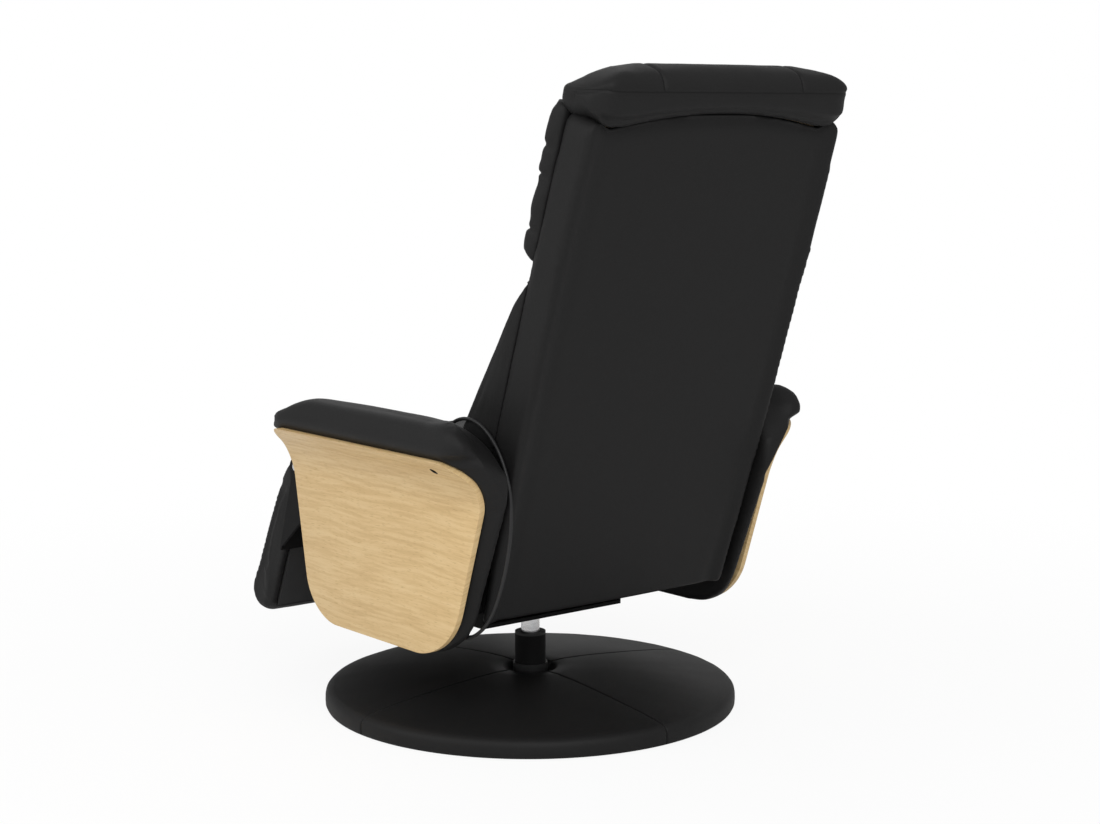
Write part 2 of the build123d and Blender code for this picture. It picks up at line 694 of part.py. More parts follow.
def arm_panel():
    outer = bend_edges(0, PANEL_BOTTOM_Z - 1, PANEL_TOP_Z)
    inner = bend_edges(PANEL_THICKNESS, PANEL_BOTTOM_Z - 1, PANEL_TOP_Z + PANEL_THICKNESS / 2)
    foot = Line(outer[0] @ 0, inner[0] @ 0)
    crest = Line(outer[2] @ 1, inner[2] @ 1)
    section = outline(*outer, crest, *inner, foot)
    panel = slab_y(section, -400, 400) & slab_x(panel_outline(), PANEL_OUTER_X - 60, ARM_OUTER_X + 60)
    hole = flare_frame(PANEL_THICKNESS / 2) * Cylinder(ARM_SCREW_HOLE / 2, PANEL_THICKNESS * 3)
    return panel - hole


def arm_screw():
    depth = ARM_SCREW_RECESS
    head = flare_frame(depth + 2) * Cylinder(ARM_SCREW_HEAD / 2, 4)
    shank = flare_frame(depth + ARM_SCREW_LENGTH / 2) * Cylinder(ARM_SCREW_SHANK / 2, ARM_SCREW_LENGTH)
    return head + shank


def arm_outline():
    """Side view of the upholstered arm, wider than the bentwood panel at its rear and top."""
    nose_low = (ARM_FRONT_Y, ARM_NOSE_Z)
    crest_front = (ARM_CREST_FRONT_Y, ARM_TOP_Z)
    crest_rear = (ARM_CREST_REAR_Y, ARM_TOP_Z)
    heel_high = (ARM_REAR_Y, ARM_HEEL_HIGH_Z)
    heel = (ARM_HEEL_Y, ARM_HEEL_Z)
    rear_low = (ARM_REAR_LOW_Y, ARM_REAR_LOW_Z)
    toe_rear = (ARM_TOE_REAR_Y, ARM_BOTTOM_Z)
    toe_front = (ARM_TOE_FRONT_Y, ARM_BOTTOM_Z)
    front_low = (ARM_FRONT_LOW_Y, ARM_FRONT_LOW_Z)
    return outline(
        bowed(nose_low, crest_front, ARM_NOSE_BOW),
        Line(crest_front, crest_rear),
        bowed(crest_rear, heel_high, ARM_HEEL_BOW),
        Line(heel_high, heel),
        Line(heel, rear_low),
        bowed(rear_low, toe_rear, ARM_TOE_REAR_BOW),
        Line(toe_rear, toe_front),
        bowed(toe_front, front_low, ARM_TOE_FRONT_BOW),
        Line(front_low, nose_low),
    )


def arm_plan():
    """The arm from above: a round nose and tail, and a rear end tucked in beside the back."""
    inner = ARM_INNER_X - SIDE_PLAY
    outer = ARM_OUTER_X + SIDE_PLAY
    front = ARM_FRONT_Y - SIDE_PLAY
    rear = ARM_REAR_Y + SIDE_PLAY
    return rounded(
        [
            (inner, front),
            (outer, front),
            (outer, rear),
            (ARM_INNER_X + ARM_TIP, rear),
            (inner, rear - ARM_TIP - SIDE_PLAY),
        ],
        (SIDE_PLAY, ARM_NOSE_ROUND, ARM_TAIL_ROUND, ARM_TIP_ROUND, ARM_TIP_ROUND),
    )


def arm_heel():
    """Room of the arm below a round heel that rises from the inner side to the outer one."""
    far = ARM_REAR_Y * 2
    rear = ARM_REAR_Y + SIDE_PLAY * 2
    crest = (ARM_INNER_CREST_Y, ARM_INNER_CREST_Z)
    heel = (rear, ARM_INNER_HEEL_Z)
    room = outline(
        Line((-far, -far), (-far, ARM_INNER_CREST_Z)),
        Line((-far, ARM_INNER_CREST_Z), crest),
        bowed(crest, heel, ARM_INNER_HEEL_BOW),
        Line(heel, (rear, -far)),
        Line((rear, -far), (-far, -far)),
    )
    run = ARM_TOP_WIDTH + SIDE_PLAY * 2
    way = Vector(run, 0, run * ARM_TILT)
    return extrude(Plane.YZ.offset(ARM_INNER_X - SIDE_PLAY) * room, amount=way.length, dir=way)


def arm_slant():
    """What the arm's rear edge loses behind the bentwood, so that the wood's own edge shows."""
    tip = ARM_INNER_X + ARM_TIP
    end = PANEL_OUTER_X + SIDE_PLAY
    drop = ARM_SLANT * (end - tip)
    corners = [(tip - ARM_ROLL / ARM_SLANT, ARM_ROLL), (end, -drop), (end, ARM_ROLL)]
    wedge = make_face(Polyline(*corners, close=True))
    lean = (ARM_HEEL_Y - ARM_REAR_LOW_Y) / (ARM_HEEL_Z - ARM_REAR_LOW_Z)

    def rear_at(height):
        return ARM_REAR_LOW_Y + (height - ARM_REAR_LOW_Z) * lean + SEAT_GAP

    def swept(low, high, shift, high_y):
        way = Vector(shift, high_y - rear_at(low), high - low)
        return extrude(Pos(0, rear_at(low), low) * wedge, amount=way.length, dir=way)

    flare = flare_point(0, PANEL_TOP_Z)[0] - PANEL_OUTER_X
    lower = swept(PANEL_BOTTOM_Z, PANEL_BEND_Z, 0, rear_at(PANEL_BEND_Z))
    return lower + swept(PANEL_BEND_Z, PANEL_TOP_Z, flare, ARM_SLANT_TOP_Y)


def arm_board():
    low = ARM_INNER_X + ARM_BOARD_INSET
    return block(
        (low, low + ARM_BOARD_THICKNESS),
        (ARM_BOARD_FRONT_Y, ARM_BOARD_REAR_Y),
        (ARM_BOARD_LOW_Z, ARM_BOARD_HIGH_Z),
    )


def arm_bolt(y, z):
    head_inner = CHASSIS_INNER_X - BOLT_HEAD_HEIGHT + SIDE_PLAY
    bolt = rod_x(BOLT_HEAD_DIAMETER / 2, head_inner, CHASSIS_INNER_X, y, z)
    end = ARM_INNER_X + ARM_BOARD_INSET + ARM_BOARD_THICKNESS
    return bolt + rod_x(BOLT_DIAMETER / 2, CHASSIS_INNER_X, end, y, z)


def arm_bolts():
    bolts = [arm_bolt(y, z) for y, z in ARM_BOLT_PLACES]
    return group(bolts + [mirrored(bolt) for bolt in bolts])


def arm_pad():
    """Padded arm: a thin lower slab that carries the panel, and a wide rounded top."""
    skin = PANEL_THICKNESS + SEAT_GAP
    low = ARM_BOTTOM_Z - 1
    crest = PANEL_TOP_Z + PANEL_THICKNESS * 0.7
    flat, bend, flare = bend_edges(skin, low, crest)
    roll = ARM_ROLL
    edge = roll / 3
    shoulder = (ARM_INNER_X, ARM_TOP_Z - roll * 1.3)
    inner_top = (ARM_INNER_X + roll, ARM_TOP_Z - edge)
    top_middle = ((ARM_INNER_X + ARM_OUTER_X + edge) / 2, ARM_TOP_Z - edge * 0.4)
    top_outer = (ARM_OUTER_X - roll / 2, ARM_TOP_Z - edge * 0.2)
    section = outline(
        flat,
        bend,
        flare,
        ThreePointArc(flare @ 1, (ARM_OUTER_X, ARM_TOP_Z - roll * 0.7), top_outer),
        ThreePointArc(top_outer, top_middle, inner_top),
        ThreePointArc(inner_top, (ARM_INNER_X + edge, ARM_TOP_Z - roll * 0.7), shoulder),
        Line(shoulder, (ARM_INNER_X, low)),
        Line((ARM_INNER_X, low), flat @ 0),
    )
    pad = slab_y(section, -400, 400) & slab_x(arm_outline(), ARM_INNER_X - 10, ARM_OUTER_X + 10)
    pad &= slab_z(arm_plan(), 0, ARM_TOP_Z + 10)
    pad &= arm_heel()
    pad -= arm_slant()
    pad -= arm_board()
    for y, z in ARM_BOLT_PLACES:
        pad -= arm_bolt(y, z)
    return pad - arm_screw()


def drilled_arm_board():
    board = arm_board()
    for y, z in ARM_BOLT_PLACES:
        board -= arm_bolt(y, z)
    return board


# Backrest, drawn upright with Y to the rear of the panel face and Z up along it
def back_outline():
    """Rear view of the back panel: bowed sides, rounded shoulders and an arched top."""
    foot_left = (-BACK_FOOT_HALF, 0)
    foot_right = (BACK_FOOT_HALF, 0)
    shoulder_left = (-BACK_SHOULDER_HALF, BACK_SHOULDER_HEIGHT)
    shoulder_right = (BACK_SHOULDER_HALF, BACK_SHOULDER_HEIGHT)
    face = outline(
        Line(foot_left, foot_right),
        ThreePointArc(foot_right, (BACK_WAIST_HALF, BACK_WAIST_HEIGHT), shoulder_right),
        ThreePointArc(shoulder_right, (0, BACK_ARCH_HEIGHT), shoulder_left),
        ThreePointArc(shoulder_left, (-BACK_WAIST_HALF, BACK_WAIST_HEIGHT), foot_left),
    )
    top = face.vertices().group_by(Axis.Y)[-1]
    return fillet(top, BACK_CORNER_RADIUS)


def above_arch(gap):
    """Everything above the arched top of the panel, a gap away from it."""
    reach = CAP_HALF_WIDTH + 40
    rise = BACK_ARCH_HEIGHT - BACK_SHOULDER_HEIGHT
    drop = rise * (reach / BACK_SHOULDER_HALF) ** 2
    crest = BACK_ARCH_HEIGHT + gap
    high = CAP_TOP + 100
    face = outline(
        ThreePointArc((-reach, crest - drop), (0, crest), (reach, crest - drop)),
        Line((reach, crest - drop), (reach, high)),
        Line((reach, high), (-reach, high)),
        Line((-reach, high), (-reach, crest - drop)),
    )
    return slab_y(face, -300, 300)


def back_panel():
    return slab_y(back_outline(), -BACK_PANEL_THICKNESS, 0)


def upright():
    inner = UPRIGHT_OUTER_X - UPRIGHT_THICKNESS
    return block(
        (inner, UPRIGHT_OUTER_X), (UPRIGHT_FRONT, -BACK_PANEL_THICKNESS), (UPRIGHT_FOOT, UPRIGHT_TOP)
    )


def back_cross_rails():
    inner = UPRIGHT_OUTER_X - UPRIGHT_THICKNESS
    depth = (UPRIGHT_FRONT, UPRIGHT_FRONT + RAIL_DEPTH)
    rails = [
        block((-inner, inner), depth, (low, low + RAIL_HEIGHT)) for low in (UPRIGHT_FOOT, MID_RAIL_HEIGHT)
    ]
    crest = block((-inner, inner), depth, (UPRIGHT_TOP - RAIL_HEIGHT, CAP_TOP))
    rails.append(crest - above_arch(CAP_GAP - SEAT_GAP))
    return group(rails)


def back_support():
    half = UPRIGHT_OUTER_X - RUNNING
    return block((-half, half), (BACK_FRONT, UPRIGHT_FRONT), (SUPPORT_FOOT, UPRIGHT_TOP))


def side_band():
    """Padded side of the back, between the panel's edge and the cushions, filling the shoulder."""
    shell = slab_y(back_outline(), BACK_FRONT, -BACK_PANEL_THICKNESS)
    deep = (-BACK_DEPTH * 2, 0)
    outer = BACK_WAIST_HALF + 10
    side = block((UPRIGHT_OUTER_X, outer), deep, (UPRIGHT_FOOT * 0.7, UPRIGHT_TOP + 1))
    shoulder = block((UPRIGHT_OUTER_X - UPRIGHT_THICKNESS, outer), deep, (UPRIGHT_TOP, CAP_TOP))
    band = shell & (side + shoulder)
    slot = block((0, BACK_BRACKET_OUTER_X + SEAT_GAP), deep, (0, BACK_BRACKET_TOP + SEAT_GAP))
    return band - slot


def in_back(y, z):
    """Rest position in the room, given along the upright-drawn back."""
    lean = math.radians(BACK_LEAN_DEGREES)
    along_y = y - BACK_FOOT_Y
    along_z = z - BACK_FOOT_Z
    return (
        along_y * math.cos(lean) - along_z * math.sin(lean),
        along_y * math.sin(lean) + along_z * math.cos(lean),
    )


def back_bracket():
    """Left steel bracket: bolted to the upright, with the recline eye and the crank eye."""
    pivot = in_back(PIVOT_Y, PIVOT_Z)
    crank = in_back(CRANK_Y, CRANK_Z)
    eye = PIVOT_EYE_DIAMETER / 2
    small = LEVER_EYE_DIAMETER / 2 - 2
    front = UPRIGHT_FRONT + 3
    rear = -BACK_PANEL_THICKNESS - 3
    span = (UPRIGHT_OUTER_X, BACK_BRACKET_OUTER_X)
    web = make_face(
        Polyline(
            (crank[0] - small, crank[1]),
            (crank[0] + small * 0.8, crank[1]),
            (rear, UPRIGHT_FOOT),
            (rear, BACK_BRACKET_TOP),
            (front, BACK_BRACKET_TOP),
            (front, SUPPORT_FOOT),
            (pivot[0], pivot[1] + eye),
            (pivot[0], pivot[1] - eye),
            close=True,
        )
    )
    plate = slab_x(web, *span)
    plate += rod_x(eye, *span, *pivot)
    plate += rod_x(small, *span, *crank)
    plate -= rod_x(PIVOT_DIAMETER / 2 + RUNNING, span[0] - 1, span[1] + 1, *pivot)
    return plate - rod_x(LINK_PIN_DIAMETER / 2, span[0] - 1, span[1] + 1, *crank)


def rear_link_pin():
    """Pin of the link in the back bracket, with a head beyond the link."""
    crank = in_back(CRANK_Y, CRANK_Z)
    head = LINK_PIN_DIAMETER / 2 + 2
    pin = rod_x(LINK_PIN_DIAMETER / 2, UPRIGHT_OUTER_X, LINK_OUTER_X + SIDE_PLAY, *crank)
    return pin + rod_x(head, LINK_OUTER_X + SIDE_PLAY / 2, LINK_OUTER_X + SIDE_PLAY, *crank)


def upper_cushion():
    """Head and upper back cushion, sewn across into soft rolls."""
    rear = CUSHION_REAR

    def section(height, half, edge, crown):
        front = half - 14
        side_middle = (rear - edge) / 2
        edges = (
            Line((-half, rear, height), (half, rear, height)),
            ThreePointArc((half, rear, height), (half + 1.5, side_middle, height), (front, -edge, height)),
            ThreePointArc((front, -edge, height), (0, -crown, height), (-front, -edge, height)),
            ThreePointArc(
                (-front, -edge, height), (-half - 1.5, side_middle, height), (-half, rear, height)
            ),
        )
        return outline(*edges)

    full = UPPER_CUSHION_HALF
    edge = UPPER_EDGE_DEPTH
    crown = edge + UPPER_CROWN
    sink = UPPER_VALLEY_SINK
    slim = UPPER_OVERHANG / 3
    thin = (-rear + edge) / 2
    top = BACK_ARCH_HEIGHT + sink * 2
    lines = (UPPER_FOOT, *UPPER_VALLEYS, top)
    sections = [section(UPPER_FOOT, full - slim * 2, thin - sink, thin)]
    for low, high in zip(lines, lines[1:]):
        rise = (high - low) / 3
        sections.append(section(low + rise, full, edge, crown))
        if high < top:
            sections.append(section(high - rise, full, edge, crown))
            sections.append(section(high, full - slim, edge - sink, crown - sink * 2))
    sections.append(section(top, full - slim * 6, thin - sink, thin))
    cushion = loft(sections, ruled=True)
    return cushion - above_arch(CAP_GAP - SEAT_GAP)


def lumbar_cushion():
    """Lower back cushion between the wings, fullest at the small of the back."""
    rear = CUSHION_REAR

    def section(height, half, edge, crown):
        edges = (
            Line((-half, rear, height), (half, rear, height)),
            Line((half, rear, height), (half - 8, -edge, height)),
            ThreePointArc((half - 8, -edge, height), (0, -crown, height), (-half + 8, -edge, height)),
            Line((-half + 8, -edge, height), (-half, rear, height)),
        )
        return outline(*edges)

    full = LUMBAR_HALF
    edge = LUMBAR_EDGE_DEPTH
    crown = edge + LUMBAR_CROWN
    soft = LUMBAR_ROUND
    height = LUMBAR_TOP - LUMBAR_FOOT
    waist = (edge + LUMBAR_TOP_DEPTH) / 2
    sections = [
        section(LUMBAR_FOOT, full - soft, edge - soft * 1.5, edge - soft),
        section(LUMBAR_FOOT + soft, full - soft / 3, edge - soft / 2, crown - soft),
        section(LUMBAR_FOOT + height * 0.4, full, edge, crown),
        section(LUMBAR_FOOT + height * 0.8, full, waist, waist + LUMBAR_CROWN),
        section(LUMBAR_TOP - soft, full - soft / 3, LUMBAR_TOP_DEPTH + soft / 2, LUMBAR_TOP_DEPTH + soft),
        section(LUMBAR_TOP, full - soft, LUMBAR_TOP_DEPTH - soft / 3, LUMBAR_TOP_DEPTH),
    ]
    return loft(sections, ruled=True)


def wing():
    """Side wing of the lower back, thick at the arm and thin at the waist."""
    rear = CUSHION_REAR
    inner = LUMBAR_HALF + WING_GAP

    def section(x, shrink):
        low = (x, rear, WING_FOOT + shrink)
        high = (x, rear, WING_TOP - shrink)
        waist = (x, -WING_WAIST_DEPTH + shrink, (WING_FOOT + WING_TOP) / 2)
        toe = (x, -WING_TOE_DEPTH + shrink, WING_FOOT + WING_TOE_RISE + shrink)
        return outline(Line(low, high), ThreePointArc(high, waist, toe), Line(toe, low))

    soft = WING_ROUND
    middle = (inner + WING_OUTER_X) / 2
    sections = [
        section(inner, soft),
        section(middle, 0),
        section(WING_OUTER_X - soft, soft / 3),
        section(WING_OUTER_X, soft * 1.6),
    ]
    return loft(sections, ruled=True)


def headrest_cap():
    """Rounded cap that overhangs the back panel and follows its arched top."""
    low = BACK_SHOULDER_HEIGHT - CAP_HEIGHT * 0.6
    flap = BACK_ARCH_HEIGHT
    brow = CAP_TOP - CAP_HEIGHT * 0.07
    cheek = CAP_TOP - CAP_HEIGHT * 0.26
    lip = flap + CAP_HEIGHT * 0.3
    cuff = flap - CAP_HEIGHT * 0.2
    notch = flap - CAP_HEIGHT * 0.42
    crest = (-CAP_FRONT * 0.4, CAP_TOP)
    front = (-CAP_FRONT, flap)
    rear = (CAP_REAR, flap + CAP_HEIGHT * 0.3)
    side_view = outline(
        Line((-CAP_FRONT, low), front),
        ThreePointArc(front, (-CAP_FRONT * 0.86, CAP_TOP - CAP_HEIGHT / 3), crest),
        ThreePointArc(crest, (CAP_REAR * 0.45, CAP_TOP - CAP_HEIGHT * 0.2), rear),
        ThreePointArc(rear, (CAP_REAR * 0.95, flap), (CAP_REAR * 0.55, low)),
        Line((CAP_REAR * 0.55, low), (-CAP_FRONT, low)),
    )
    end = CAP_HALF_WIDTH
    inset = end - CAP_END_ROUND * 1.6
    bulge = end - CAP_END_ROUND * 0.46
    tuck = end - CAP_END_ROUND * 0.3
    heel = end - CAP_END_ROUND
    rear_view = outline(
        ThreePointArc((end, lip), (bulge, cheek), (inset, brow)),
        ThreePointArc((inset, brow), (0, CAP_TOP + 1), (-inset, brow)),
        ThreePointArc((-inset, brow), (-bulge, cheek), (-end, lip)),
        ThreePointArc((-end, lip), (-tuck, cuff), (-heel, notch)),
        Line((-heel, notch), (-heel, low)),
        Line((-heel, low), (heel, low)),
        Line((heel, low), (heel, notch)),
        ThreePointArc((heel, notch), (tuck, cuff), (end, lip)),
    )
    plan = rounded(
        [(-end, -CAP_FRONT), (end, -CAP_FRONT), (end, CAP_REAR), (-end, CAP_REAR)],
        (CAP_END_ROUND / 2, CAP_END_ROUND / 2, CAP_END_ROUND, CAP_END_ROUND),
    )
    whole = slab_x(side_view, -end, end) & slab_y(rear_view, -200, 200)
    whole &= slab_z(plan, low, CAP_TOP + 10)
    return whole & above_arch(CAP_GAP)


# Footrest
def footrest_section(x, draw):
    """Side view of the hanging footrest: rounded top, gently bowed front, rounded toe."""
    middle_y = (FOOT_SIDE_FRONT[1][0] + FOOT_SIDE_REAR[1][0]) / 2 - FOOT_BOARD_THICKNESS * 3
    middle_z = (FOOT_SIDE_REAR[0][1] + FOOT_SIDE_REAR[1][1]) / 2

    def at(y, z):
        return x, y + (middle_y - y) * draw, z + (middle_z - z) * draw

    toe_rear, top_rear = FOOT_SIDE_REAR
    brow, chest, shin, toe, sole = FOOT_SIDE_FRONT
    peak = (FOOT_PIVOT_Y - FOOT_BROW / 2, FOOT_PIVOT_Z + FOOT_BROW)
    return outline(
        Line(at(*toe_rear), at(*top_rear)),
        ThreePointArc(at(*top_rear), at(FOOT_PIVOT_Y - 1, FOOT_PIVOT_Z), at(*peak)),
        ThreePointArc(at(*peak), at(*brow), at(*chest)),
        ThreePointArc(at(*chest), at(*shin), at(*toe)),
        ThreePointArc(at(*toe), at(*sole), at(*toe_rear)),
    )


def board_line(offset):
    """Rear face of the footrest moved forwards by an offset, as two points."""
    (y0, z0), (y1, z1) = FOOT_SIDE_REAR
    length = math.hypot(y1 - y0, z1 - z0)
    shift_y = -(z1 - z0) / length * offset
    shift_z = (y1 - y0) / length * offset
    return (y0 + shift_y, z0 + shift_z), (y1 + shift_y, z1 + shift_z)


def footrest_board():
    low_rear, high_rear = board_line(0)
    low_front, high_front = board_line(FOOT_BOARD_THICKNESS)
    face = make_face(Polyline(low_rear, high_rear, high_front, low_front, close=True))
    half = FOOT_HALF_WIDTH - FOOT_SIDE_ROUND
    return slab_x(face, -half, half)


def footrest_pad():
    """Padded footrest, drawn in at its two sides, wrapped round its board."""
    full = FOOT_HALF_WIDTH - FOOT_SIDE_ROUND
    sections = [
        footrest_section(-FOOT_HALF_WIDTH, FOOT_SIDE_DRAW),
        footrest_section(-full, 0),
        footrest_section(full, 0),
        footrest_section(FOOT_HALF_WIDTH, FOOT_SIDE_DRAW),
    ]
    return loft(sections, ruled=True) - footrest_board()


def footrest_lever():
    """Left lever: footrest pivot, crank for the link, and a flange on the footrest board."""
    eye = LEVER_EYE_DIAMETER / 2
    small = eye - 2
    span = (LEVER_INNER_X, LEVER_INNER_X + LEVER_THICKNESS)
    low_front, high_front = board_line(0)
    low_rear, high_rear = board_line(-FOOT_FLANGE_THICKNESS)
    share = 0.45
    start_front = tuple(a + (b - a) * share for a, b in zip(low_front, high_front))
    start_rear = tuple(a + (b - a) * share for a, b in zip(low_rear, high_rear))
    flange_face = make_face(Polyline(start_front, high_front, high_rear, start_rear, close=True))
    flange = slab_x(flange_face, span[1] - FOOT_FLANGE_WIDTH, span[1])
    web = make_face(
        Polyline(
            (FOOT_PIVOT_Y - eye, FOOT_PIVOT_Z),
            start_front,
            (FOOT_CRANK_Y, FOOT_CRANK_Z - small),
            (FOOT_CRANK_Y + small, FOOT_CRANK_Z),
            (FOOT_PIVOT_Y + eye, FOOT_PIVOT_Z),
            close=True,
        )
    )
    lever = slab_x(web, *span) + flange
    lever += rod_x(eye, *span, FOOT_PIVOT_Y, FOOT_PIVOT_Z)
    lever += rod_x(small, *span, FOOT_CRANK_Y, FOOT_CRANK_Z)
    lever -= rod_x(PIVOT_DIAMETER / 2 + RUNNING, span[0] - 1, span[1] + 1, FOOT_PIVOT_Y, FOOT_PIVOT_Z)
    return lever - rod_x(LINK_PIN_DIAMETER / 2, span[0] - 1, span[1] + 1, FOOT_CRANK_Y, FOOT_CRANK_Z)


def front_link_pin():
    """Pin of the link in the footrest lever, with a head inside the link."""
    head = LINK_PIN_DIAMETER / 2 + LINK_FRONT_PLAY + 3
    inner = LINK_INNER_X - SIDE_PLAY
    pin = rod_x(LINK_PIN_DIAMETER / 2, inner, LEVER_INNER_X + LEVER_THICKNESS, FOOT_CRANK_Y, FOOT_CRANK_Z)
    return pin + rod_x(head, inner, inner + SIDE_PLAY / 2, FOOT_CRANK_Y, FOOT_CRANK_Z)


def drive_link():
    """Left flat link; its front hole is low and wide, as the pin rises and falls in it."""
    half = LINK_WIDTH / 2
    front_eye = half + LINK_FRONT_PLAY
    front_z = FOOT_CRANK_Z - LINK_FRONT_DROP
    run_y = FOOT_CRANK_Y - CRANK_Y
    run_z = front_z - CRANK_Z
    length = math.hypot(run_y, run_z)
    side_y = -run_z / length * half
    side_z = run_y / length * half
    face = make_face(
        Polyline(
            (CRANK_Y + side_y, CRANK_Z + side_z),
            (FOOT_CRANK_Y + side_y, front_z + side_z),
            (FOOT_CRANK_Y - side_y, front_z - side_z),
            (CRANK_Y - side_y, CRANK_Z - side_z),
            close=True,
        )
    )
    span = (LINK_INNER_X, LINK_OUTER_X)
    link = slab_x(face, *span)
    link += rod_x(half, *span, CRANK_Y, CRANK_Z)
    link += rod_x(front_eye, *span, FOOT_CRANK_Y, front_z)
    link -= rod_x(LINK_PIN_DIAMETER / 2 + RUNNING, span[0] - 1, span[1] + 1, CRANK_Y, CRANK_Z)
    bore = LINK_PIN_DIAMETER / 2 + LINK_FRONT_PLAY
    return link - rod_x(bore, span[0] - 1, span[1] + 1, FOOT_CRANK_Y, front_z)


# Vibration motors: an open cup under the board it shakes, with the shaft along X
def motor_cup():
    half = MOTOR_LENGTH / 2
    wide = MOTOR_WIDTH / 2
    inside = (-half + MOTOR_WALL, half - MOTOR_WALL)
    cup = block((-half, half), (-wide, wide), (-MOTOR_DEPTH, 0))
    cup -= block(inside, (-wide + MOTOR_WALL, wide - MOTOR_WALL), (-MOTOR_DEPTH + MOTOR_WALL, 1))
    axis_z = -MOTOR_DEPTH / 2
    cup += rod_x(MOTOR_CAN_DIAMETER / 2, inside[0], inside[0] + MOTOR_CAN_LENGTH, 0, axis_z)
    return cup - rod_x(ROTOR_SHAFT_DIAMETER / 2 + RUNNING, -half - 1, half + 1, 0, axis_z)


def motor_rotor():
    """Shaft with an off-centre half-round weight."""
    half = MOTOR_LENGTH / 2
    axis_z = -MOTOR_DEPTH / 2
    end = half - MOTOR_WALL * 2
    start = end - ROTOR_WEIGHT_LENGTH
    weight = rod_x(ROTOR_WEIGHT_DIAMETER / 2, start, end, 0, axis_z)
    weight -= block((start - 1, end + 1), (-MOTOR_WIDTH, MOTOR_WIDTH), (axis_z, MOTOR_DEPTH))
    return weight + rod_x(ROTOR_SHAFT_DIAMETER / 2, -half, half, 0, axis_z)


def motor_pair(solid, place):
    reach = MOTOR_SPREAD / 2
    return [place * Pos(x, 0, 0) * solid for x in (-reach, reach)]


def back_motor_place(height):
    return BACK_PLACE * Pos(0, UPRIGHT_FRONT, height) * Rot(90, 0, 0)


SEAT_MOTOR_PLACE = Pos(0, SEAT_MOTOR_Y, SEAT_DECK_Z - SEAT_DECK_THICKNESS)


# Control box
BOX_OUTER_X = SEAT_BOX_HALF - SEAT_BOARD_THICKNESS
GLAND_X = BOX_OUTER_X - BOX_LENGTH * 0.3
GLAND_Y = BOX_Y + BOX_WIDTH * 0.2
INLET_X = BOX_OUTER_X - BOX_LENGTH * 0.75
GLAND_FOOT = BOX_BOTTOM_Z - GLAND_LENGTH


def control_box():
    span_x = (BOX_OUTER_X - BOX_LENGTH, BOX_OUTER_X)
    span_y = (BOX_Y - BOX_WIDTH / 2, BOX_Y + BOX_WIDTH / 2)
    span_z = (BOX_BOTTOM_Z, BOX_BOTTOM_Z + BOX_HEIGHT)
    box = block(span_x, span_y, span_z)
    box = fillet(box.edges().filter_by(Axis.Z), BOX_WALL * 2)
    hollow = [(low + BOX_WALL, high - BOX_WALL) for low, high in (span_x, span_y, span_z)]
    return box - block(*hollow)


def power_inlet():
    body = rod_z(INLET_DIAMETER / 2, BOX_BOTTOM_Z - INLET_LENGTH, BOX_BOTTOM_Z, INLET_X, BOX_Y)
    return body - rod_z(INLET_BORE / 2, BOX_BOTTOM_Z - INLET_LENGTH - 1, BOX_BOTTOM_Z - 2, INLET_X, BOX_Y)


def cord_gland():
    gland = rod_z(GLAND_DIAMETER / 2, GLAND_FOOT, BOX_BOTTOM_Z, GLAND_X, GLAND_Y)
    return chamfer(gland.edges().sort_by(Axis.Z)[:1], GLAND_DIAMETER / 6)


# Hand control, drawn flat with its cord end towards +Y, then laid on the seat's crown
def crown_height(x):
    return SEAT_CROWN_Z - CROWN_RADIUS + math.sqrt(CROWN_RADIUS**2 - x**2)


HANDSET_TILT = math.degrees(math.asin(HANDSET_X / CROWN_RADIUS))
HANDSET_PLACE = (
    Pos(HANDSET_X, HANDSET_Y, crown_height(HANDSET_X)) * Rot(0, HANDSET_TILT, 0) * Pos(0, 0, SEAT_GAP)
)


def handset_shell():
    shell = block(
        (-HANDSET_WIDTH / 2, HANDSET_WIDTH / 2),
        (-HANDSET_LENGTH / 2, HANDSET_LENGTH / 2),
        (0, HANDSET_HEIGHT),
    )
    return fillet(shell.edges().filter_by(Axis.Z), HANDSET_CORNER)


def handset_hollow():
    wall = HANDSET_WALL
    return block(
        (-HANDSET_WIDTH / 2 + wall, HANDSET_WIDTH / 2 - wall),
        (-HANDSET_LENGTH / 2 + HANDSET_CORNER, HANDSET_LENGTH / 2 - HANDSET_CORNER),
        (wall, HANDSET_HEIGHT - wall),
    )


def button_places():
    first = -HANDSET_LENGTH / 2 + HANDSET_CORNER * 3
    return [Pos(0, first + k * BUTTON_PITCH, 0) for k in range(len(BUTTON_NAMES))]


def handset_lower_shell():
    lower = handset_shell() - handset_hollow()
    return lower & Pos(0, 0, HANDSET_SPLIT / 2) * Box(HANDSET_WIDTH * 2, HANDSET_LENGTH * 2, HANDSET_SPLIT)


def handset_upper_shell():
    upper = handset_shell() - handset_hollow()
    upper -= Pos(0, 0, HANDSET_SPLIT / 2) * Box(HANDSET_WIDTH * 2, HANDSET_LENGTH * 2, HANDSET_SPLIT)
    hole = rod_z(BUTTON_DIAMETER / 2 + BUTTON_PLAY, HANDSET_SPLIT, HANDSET_HEIGHT + 1)
    for place in button_places():
        upper -= place * hole
    return upper


def button(place):
    """Push button with a rim that keeps it under the upper shell."""
    rim_top = HANDSET_HEIGHT - HANDSET_WALL - RUNNING
    cap = rod_z(BUTTON_DIAMETER / 2, rim_top, HANDSET_HEIGHT + BUTTON_RISE)
    cap = fillet(cap.edges().sort_by(Axis.Z)[-1:], BUTTON_RISE / 2)
    rim = rod_z(BUTTON_DIAMETER / 2 + BUTTON_RIM, rim_top - BUTTON_RIM, rim_top)
    return place * (cap + rim)


